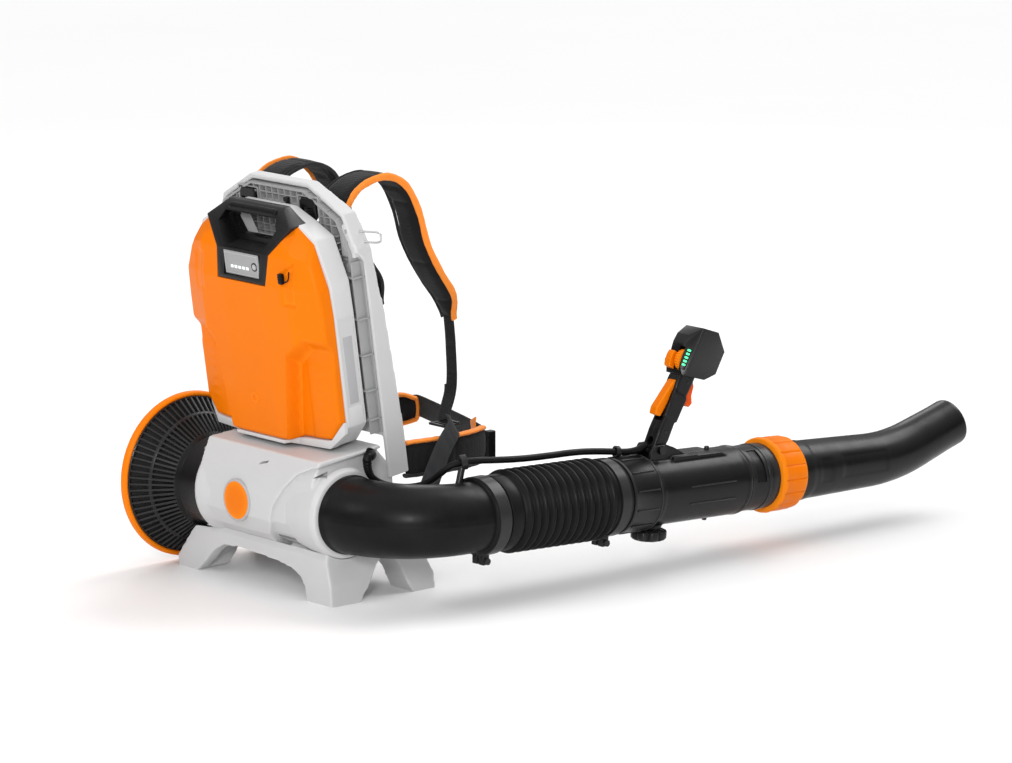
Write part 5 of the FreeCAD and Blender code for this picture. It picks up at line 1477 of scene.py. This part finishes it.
def plate_ladder():
    """Grey ribs between the battery and the plate, closer together near the top."""
    back, wing = PANEL_Y - 0.2, PLATE_HALF - 2.8
    meshes = []
    for z in LADDER_Z:
        meshes.append(block(-wing, 27, z, wing, back, z + 2.4, 0.5, LEANING))
    for x in (-100, -50, 0, 50, 100):
        meshes.append(block(x - 1.2, 28, 215, x + 1.2, back, 442, 0.4, LEANING))
    for side in (-1, 1):
        x0, x1 = sorted((side * 139.8, side * 142.4))
        meshes.append(block(x0, 28, 213, x1, back, 446, 0.5, LEANING))
        x0, x1 = sorted((side * 141, side * wing))
        meshes.append(block(x0, back - 2.4, 213, x1, back, 446, 0.5, LEANING))
    for z in (440, 449, 458, 467, 476):
        reach = min(115.0, between(z, LADDER_EDGE) - 0.4)
        meshes.append(block(-reach, 31, z, reach, back, z + 1.6, 0.4, LEANING))
    for z in (490, 500, 510, 520, 529):
        reach = between(z, LADDER_EDGE) - 0.8
        gaps = [(-reach, -LATCH_X - 19.5), (-LATCH_X + 19.5, LATCH_X - 19.5), (LATCH_X + 19.5, reach)]
        if z > 524:
            gaps = [(-reach, reach)]
        for x0, x1 in gaps:
            if x1 - x0 > 3:
                meshes.append(block(x0, 32, z, x1, back, z + 1.6, 0.4, LEANING))
    for x in range(-104, 105, 13):
        top = 532.0
        while between(top, LADDER_EDGE) < abs(x) + 1.5:
            top -= 1.0
        ends = [(440, min(top, 486.5)), (524.5, top)] if abs(abs(x) - LATCH_X) < 20.5 else [(440, top)]
        for low, high in ends:
            if high - low > 3:
                meshes.append(block(x - 0.8, 32, low, x + 0.8, back, high, 0.3, LEANING))
    outer = prism_bm(mirrored([(57, 532), (118.8, 500), (137.8, 458), (139, 440)]), "xz", 30, back)
    inner = prism_bm(mirrored([(55, 529.5), (116.4, 498), (135.4, 457), (136.5, 430)]), "xz", 20, 50)
    meshes.append(mesh_of(carve(outer, [inner]), LEANING))
    for side in (-1, 1):
        x0, x1 = sorted((side * LATCH_X - 21, side * LATCH_X + 21))
        frame_bm = prism_bm(rectangle(x0, 486, x1, 525.5), "xz", 31, back)
        meshes.append(mesh_of(carve(frame_bm, [latch_room(side)]), LEANING))
    for x, z in ((-22, 503), (22, 488), (0, 500), (96, 470), (-96, 470)):
        meshes.append(rod(4.5, (x, 30, z), (x, back, z), 0.5, 24, LEANING))
    made = piece("plate_ladder", merged(meshes), GREY, "pack", 30)
    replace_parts(made, "plate_ribs")


def latch(side, name):
    """Rounded catch with a finger pocket and a raised lip."""
    x0, x1 = side * LATCH_X - 16, side * LATCH_X + 16
    arm = prism_bm([(29.4, 492), (28.6, 508), (29.4, 523), (36.2, 523), (36.2, 516), (33.5, 492)], "yz", x0,
                   x1)
    cx = side * LATCH_X
    corner = [prism_bm([(cx + s * 16.5, 491), (cx + s * 9, 491), (cx + s * 16.5, 498)], "xz", 20, 45)
              for s in (-1, 1)]
    corner += [prism_bm([(cx + s * 16.5, 524), (cx + s * 11, 524), (cx + s * 16.5, 517)], "xz", 20, 45)
               for s in (-1, 1)]
    body = sculpt(carve(arm, corner), 0.9, 3)
    pocket = prism_bm([(cx - 10, 497), (cx + 10, 497), (cx + 12, 511), (cx - 12, 511)], "xz", 26, 31)
    bore = rod_bm(2.1, (cx - 20, 33, 520), (cx + 20, 33, 520), 24)
    shell = mesh_of(carve(body, [pocket, bore]), LEANING)
    ridges = [block(cx - 8, 29.6, z, cx + 8, 31.4, z + 1.2, 0.3, LEANING) for z in (500, 503.4, 506.8)]
    made = piece(name + "_catch", merged([shell] + ridges), BLACK, name, 34)
    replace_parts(made, name)


def strap_hook():
    """Hook for the battery's strap, and the wire eye on the right spar."""
    arm = prism([(31.5, 498), (31.5, 520), (26, 520), (26, 514), (29, 514), (29, 498)], "yz", 17, 25, 0.8,
                LEANING)
    hook = piece("strap_hook", arm, BLACK, "pack")
    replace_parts(hook, "plate_hooks")
    line = [Vector(p) for p in ((136, 52, 468), (160, 59.6, 468), (166.6, 61.9, 470), (167.4, 62.1, 475),
                                (166.6, 61.9, 480), (160, 59.6, 482), (136, 52, 482))]
    wire = sweep(spline(line, 6), round_section(1.4, 12))
    piece("harness_wire_eye", mesh_of(wire, LEANING), STEEL, "pack", 60)


def cable_relief():
    """Grommet in the housing and a tapered, grooved sleeve along the cable's start."""
    line = [p / MM for p in cable_line(CABLE_LOWER)]
    root, start = Vector((145.5, -8, 190)), line[0]
    bend = [root, root + Vector((5.5, -0.6, 0.4)), root + Vector((11, -5, 1.2)),
            root + Vector((15.4, -11.5, 1.0)),
            start + Vector((-0.3, 1.6, 1.2))]
    path = spline(bend, 8)
    radii = [6.4] * len(path)
    reach, points = 0.0, []
    for a, b in zip(line, line[1:]):
        reach += (b - a).length
        if reach > 26:
            break
        points.append(b)
    path += points
    radii += [6.4 - 1.4 * (k + 1) / len(points) for k in range(len(points))]
    path = spline(path, 3)
    radii = [radii[min(k // 3, len(radii) - 1)] for k in range(len(path))]

    def grooves(i, turn):
        return -0.5 * (0.5 + 0.5 * cos(i * 0.9)) if i > len(path) * 0.5 else 0.0
    sleeve = mesh_of(pipe_along(path, radii, 1.4, 40, grooves))
    flange = lathe(rounded_profile([(-1, 4.0), (-1, 9.2), (3, 8.2), (3, 4.0)], 1.0, 2),
                   (root, RIGHT, UP), 40)
    relief = piece("cable_relief", merged([sleeve, flange]), RUBBER, "pack", 50)
    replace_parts(relief, "cable_gland")


back_plate()
plate_ladder()
latch(-1, "latch_left")
latch(1, "latch_right")
strap_hook()
cable_relief()


# ---- CAD parts that stay as they are -----------------------------------------------------------------
KEPT = {
    BLACK: ["clamp_rear", "clamp_front", "cable_clip", "impeller"],
    GREY: ["fan_duct", "motor_housing"],
    DARK: ["controller"],
    DARK_STEEL: ["pivot_bolt"],
    STEEL: ["motor_bearings", "housing_screws", "latch_pins", "grip_pins"],
    COPPER: ["motor_rotor"],
    BRASS: ["battery_contacts"],
    CELL: ["battery_cells"],
}


def dress_kept_parts():
    """Materials for the CAD parts that no piece replaces."""
    for material, nodes in KEPT.items():
        for node in nodes:
            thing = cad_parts[node]
            thing.data.materials.clear()
            thing.data.materials.append(material)


dress_kept_parts()


# ---- harness -----------------------------------------------------------------------------------------
STRAP_X, PAD_WIDTH, PAD_THICK = 75.0, 60.0, 13.0
SHOULDER_ROUTE = [(-9, 500), (2, 524), (24, 539), (60, 545), (92, 530), (114, 494), (129, 448), (151, 409),
                  (178, 370), (188, 338)]
WEB_ROUTE = [(STRAP_X, 185, 350), (STRAP_X, 188.3, 337), (82, 186, 300), (97, 174, 250), (118, 142, 214)]
LOAD_ROUTE = [(140, 134, 213), (149, 133, 211), (154, 129, 206), (157, 112, 188), (157, 97, 162),
              (155, 85, 134)]
HIP_RIGHT = [(136, 60), (139, 84), (142, 110), (142, 140), (138, 170), (130, 195), (122, 208)]
HIP_LEFT = [(-136, 60), (-139, 90), (-146, 130), (-148, 180), (-142, 230), (-128, 272), (-112, 292)]
BELT = [(-118, 287, 177), (-110.4, 291.6, 177), (-60, 277, 177), (0, 258, 177), (60, 238, 177),
        (104, 221, 177)]
HIP_Z = 172.0
PUFF, PUFF_FRAMES = 4.0, 20
GROOVE_HALF, GROOVE_DEPTH = 3.2, 1.6
TAPER_IN, TAPER_OUT = 0.10, 0.16       # shares of a pad's length that narrow at its two ends


def puffed(bm, voxel, cap):
    """Voxel skin blown up as cloth for a moment; no point moves further than the cap."""
    skin = evaluated(bm, [("REMESH", {"mode": "VOXEL", "voxel_size": voxel}),
                          ("SMOOTH", {"factor": 0.5, "iterations": 2})])
    mesh = mesh_of(skin)
    scene = bpy.context.scene
    thing = bpy.data.objects.new("puff", mesh)
    scene.collection.objects.link(thing)
    cloth = thing.modifiers.new("cloth", "CLOTH")
    cloth.settings.use_pressure = True
    cloth.settings.uniform_pressure_force = PUFF
    cloth.settings.effector_weights.gravity = 0
    cloth.point_cache.frame_end = PUFF_FRAMES
    for step in range(1, PUFF_FRAMES + 1):
        scene.frame_set(step)
    graph = bpy.context.evaluated_depsgraph_get()
    blown = bpy.data.meshes.new_from_object(thing.evaluated_get(graph))
    for old, new in zip(mesh.vertices, blown.vertices):
        move = new.co - old.co
        if move.length > cap * MM:
            new.co = old.co + move.normalized() * cap * MM
    bpy.data.objects.remove(thing)
    scene.frame_set(1)
    return blown


def fine(mesh):
    """The mesh once subdivided."""
    thing = bpy.data.objects.new("fine", mesh)
    bpy.context.scene.collection.objects.link(thing)
    thing.modifiers.new("fine", "SUBSURF").levels = 1
    graph = bpy.context.evaluated_depsgraph_get()
    made = bpy.data.meshes.new_from_object(thing.evaluated_get(graph))
    bpy.data.objects.remove(thing)
    return made


def flat_normals(line, across):
    """Direction out of a strap's face at each point of its line."""
    rows = []
    for a, b in zip([line[0]] + line[:-1], line[1:] + [line[-1]]):
        rows.append((b - a).normalized().cross(across).normalized())
    return rows


def channels(mesh, line, across, depth, places, along):
    """Sewn lines across the pad at shares of its line, and one stitched line near each long edge."""
    last = len(line) - 1
    tree = KDTree(len(line))
    for k, p in enumerate(line):
        tree.insert(p * MM, k)
    tree.balance()
    normals = flat_normals(line, across)
    for v in mesh.vertices:
        spot, k, _ = tree.find(v.co)
        offset = (v.co - spot) / MM
        out = offset.dot(normals[k])
        ahead = (line[min(k + 1, last)] - line[max(k - 1, 0)]).normalized()
        run = offset.dot(ahead)
        place = k / last
        push = 0.0
        for share in places:
            gap = (place - share) * line_length(line) + run
            push = max(push, exp(-(gap / GROOVE_HALF) ** 2))
        push = max(push, exp(-((abs(offset.dot(across)) - along) / 2.0) ** 2) * 0.8)
        if abs(out) > 1.5:
            v.co -= normals[k] * (depth * push * (1 if out > 0 else -1)) * MM


def line_length(line):
    """Length of a line of points."""
    return sum((b - a).length for a, b in zip(line, line[1:]))


def narrowing(share, ends):
    """A pad's width at a share of its length, against its full width."""
    first = ends[0] + (1 - ends[0]) * smooth_step(share / TAPER_IN)
    return first * (ends[1] + (1 - ends[1]) * smooth_step((1 - share) / TAPER_OUT))


def cushion_section(half_width, half_thick):
    """Rounded bar: flat faces with full edges."""
    rows, count = [], 20
    for k in range(count):
        across, out = cos(2 * pi * k / count), sin(2 * pi * k / count)
        if abs(across) > 0.97:
            high = out * (1.25 - 0.25 * abs(out))
        else:
            high = (1 if out > 0 else -1) * abs(out) ** 0.45
        rows.append((half_width * across, half_thick * high))
    return rows


def padded_ribbon(name, node, points, across, width, thick, ends, places, cap, voxel, along):
    """Stuffed strap with its sewn lines."""
    line = spline([Vector(p) for p in points], 10)
    across = Vector(across)

    def section(share):
        flat = 0.7 + 0.3 * smooth_step(min(share, 1 - share) / 0.06)
        return cushion_section(width / 2 * narrowing(share, ends), thick / 2 * flat)
    bm = sweep(line, section, flat_normals(line, across))
    mesh = fine(puffed(bm, voxel, cap))
    channels(mesh, line, across, GROOVE_DEPTH, places, along)
    made = piece(name, mesh, PAD, "pack", 180)
    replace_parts(made, node)
    return line


def binding(name, line, normals, size, material=None):
    """Folded tape over an edge: a fat rounded strip with a little unevenness."""
    wide, tall = size

    def section(share):
        swell = 1 + 0.05 * sin(share * 61) + 0.03 * sin(share * 173)
        return [(wide / 2 * swell * cos(2 * pi * k / 16), tall / 2 * swell * sin(2 * pi * k / 16))
                for k in range(16)]
    bm = sweep(line, section, normals)
    return piece(name, mesh_of(bm), material or PIPING, "pack", 70)


def edge_line(line, across, reach, last, ends):
    """The pad's edge up to a share of its length, following its narrowing ends."""
    across = Vector(across)
    count = len(line) - 1
    kept = [k for k in range(len(line)) if k / count <= last]
    normals = flat_normals(line, across)
    rows = [line[k] + across * reach * narrowing(k / count, ends) for k in kept]
    return rows, [normals[k] for k in kept]


def shoulder_pads():
    """Two shoulder cushions, bound in orange on the outside and in black on the inside."""
    for side, name in ((-1, "left"), (1, "right")):
        points = [(side * STRAP_X, y, z) for y, z in SHOULDER_ROUTE]
        ends = (0.85, 0.45)
        line = padded_ribbon("shoulder_cushion_" + name, "shoulder_pad_" + name, points, (1, 0, 0),
                             PAD_WIDTH - 5,
                             PAD_THICK - 4.5, ends, (0.30, 0.52, 0.74, 0.9), 3.5, 4.5, 21)
        for edge in (-1, 1):
            rows, normals = edge_line(line, (edge, 0, 0), PAD_WIDTH / 2 - 2.4, 1.0, ends)
            if edge == side:
                binding("shoulder_binding_" + name, rows, normals, (4.6, 10.0))
            else:
                binding("shoulder_seam_" + name, rows, normals, (2.6, 5.5), EDGE_TAPE)


def flat_strap(points, across, width, thick, steps=10):
    """Webbing along a smooth line."""
    line = spline([Vector(p) for p in points], steps)
    return mesh_of(sweep(line, strap_section(width, thick), flat_normals(line, Vector(across))))


def straps():
    """Webbing to the adjusters, doubled at the adjuster, and the wide load straps."""
    narrow, wide = [], []
    for side, out in ((-1, 8), (1, 0)):
        web = [(side * x, y, z) for x, y, z in WEB_ROUTE]
        narrow.append(flat_strap(web, (1, 0, 0), 20, 2.0))
        tail = [(side * 122, 138, 213), (side * 116, 147, 226), (side * 108, 160, 243),
                (side * 106, 163, 256)]
        narrow.append(flat_strap(tail, (1, 0, 0), 19, 1.8))
        load = [(side * (x + out), y, z) for x, y, z in LOAD_ROUTE]
        wide.append(flat_strap(load, (0, 0.5, -0.87), 30, 2.0))
    thing = piece("shoulder_webbing", merged(narrow), WEBBING, "pack", 50)
    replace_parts(thing, "strap_webbing")
    piece("load_straps", merged(wide), LOAD_WEB, "pack", 50)


def buckles():
    """Slotted adjusters of the shoulder straps, and the belt's pocket buckle."""
    meshes = []
    for side in (-1, 1):
        x0, x1 = sorted((side * 132 - 16, side * 132 + 16))
        plate = prism_bm(rectangle(x0, 118, x1, 146), "xy", 208.2, 211.8)
        slots = [prism_bm(rectangle(x0 + 3.5, y, x1 - 3.5, y + 5), "xy", 200, 220)
                 for y in (122, 130.5)]
        plate = carve(plate, slots)
        round_edges(plate, 0.9, 2)
        meshes.append(mesh_of(plate))
        meshes.append(block(x0, 140, 209, x1, 145.6, 213.8, 1.6))
    made = piece("strap_adjusters", merged(meshes), BLACK, "pack", 36)
    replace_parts(made, "harness_buckles")
    pocket = sculpt(carve(prism_bm(rectangle(100, 213, 128, 226), "xy", 148, 188),
                          [prism_bm(rectangle(99, 217, 118, 232), "xy", 156, 192)]), 1.1, 3)
    ribs = [prism_bm(rectangle(x, 212.4, x + 2, 214), "xy", 154, 182) for x in (108, 114, 120)]
    piece("belt_buckle", merged([mesh_of(pocket)] + [mesh_of(r) for r in ribs]), BLACK, "pack",
          38)


def hip_pads():
    """Two hip cushions; the left one's end is bound too."""
    for name, route, tall, places in (("left", HIP_LEFT, 46, (0.3, 0.62)),
                                      ("right", HIP_RIGHT, 50, (0.5,))):
        points = [(x, y, HIP_Z) for x, y in route]
        ends = (0.96, 0.72) if name == "left" else (0.98, 0.98)
        line = padded_ribbon("hip_cushion_" + name, "hip_pad_" + name, points, (0, 0, 1), tall - 4, 8.5,
                             ends, places,
                             3.0, 4.0, tall / 2 - 9)
        for edge in (-1, 1):
            rows, normals = edge_line(line, (0, 0, edge), tall / 2 - 2.6, 0.985, ends)
            binding("hip_binding_%s_%s" % (name, "top" if edge > 0 else "low"), rows, normals, (6.0, 11.5),
                    None if edge > 0 or name == "left" else EDGE_TAPE)
        if name == "left":
            tip, out = line[-1], flat_normals(line, UP)[-1]
            ahead = (line[-1] - line[-2]).normalized()
            reach = (tall / 2 - 2.6) * ends[1]
            rows = [tip + UP * reach * cos(t) + ahead * 3.5 * sin(t) - ahead * 4
                    for t in [pi * k / 20 for k in range(21)]]
            binding("hip_binding_left_end", rows, [out] * 21, (6.0, 11.0))


def belt():
    """Closed belt with its pull tab."""
    made = piece("hip_belt_webbing", flat_strap(BELT, (0, 0, 1), 30, 2.2), WEBBING, "pack", 50)
    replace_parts(made, "hip_belt")
    tab = [(78, 229, 196), (80, 227, 191), (82, 226, 184), (84, 226, 176), (87, 226, 169)]
    piece("pull_tab", flat_strap(tab, (0.94, -0.33, 0), 17, 1.6, 6), PIPING, "pack", 50)


def back_cushion():
    """Wide pad against the wearer's back, sewn into channels."""
    outline = mirrored([(63, 474), (87, 449), (95, 300), (100, 205)])
    bm = carve(prism_bm(outline, "xz", 58, 81), [prism_bm([(60, 510), (64, 440), (72, 330), (81, 200),
                                                           (81, 190),
                                                          (40, 190), (40, 510)], "yz", -150, 150)])
    round_edges(bm, 5.0, 3)
    skin = evaluated(bm, [("REMESH", {"mode": "VOXEL", "voxel_size": 4.5}), ("SMOOTH", {"iterations": 3})])
    mesh = fine(puffed(skin, 4.5, 3.0))
    for v in mesh.vertices:
        x, z = v.co.x / MM, v.co.z / MM
        push = exp(-(x / 5) ** 2)
        for place in (270, 335, 400):
            push = max(push, exp(-((z - place + abs(x) * 0.25) / 4) ** 2))
        if v.co.y / MM > 66 + (474 - z) * 0.03:
            v.co.y -= 4.0 * push * MM
    mesh.transform(Matrix.Rotation(LEAN, 4, "X"))
    made = piece("back_cushion", mesh, MESH_PAD, "pack", 180)
    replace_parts(made, "back_pad")


shoulder_pads()
straps()
buckles()
hip_pads()
belt()
back_cushion()
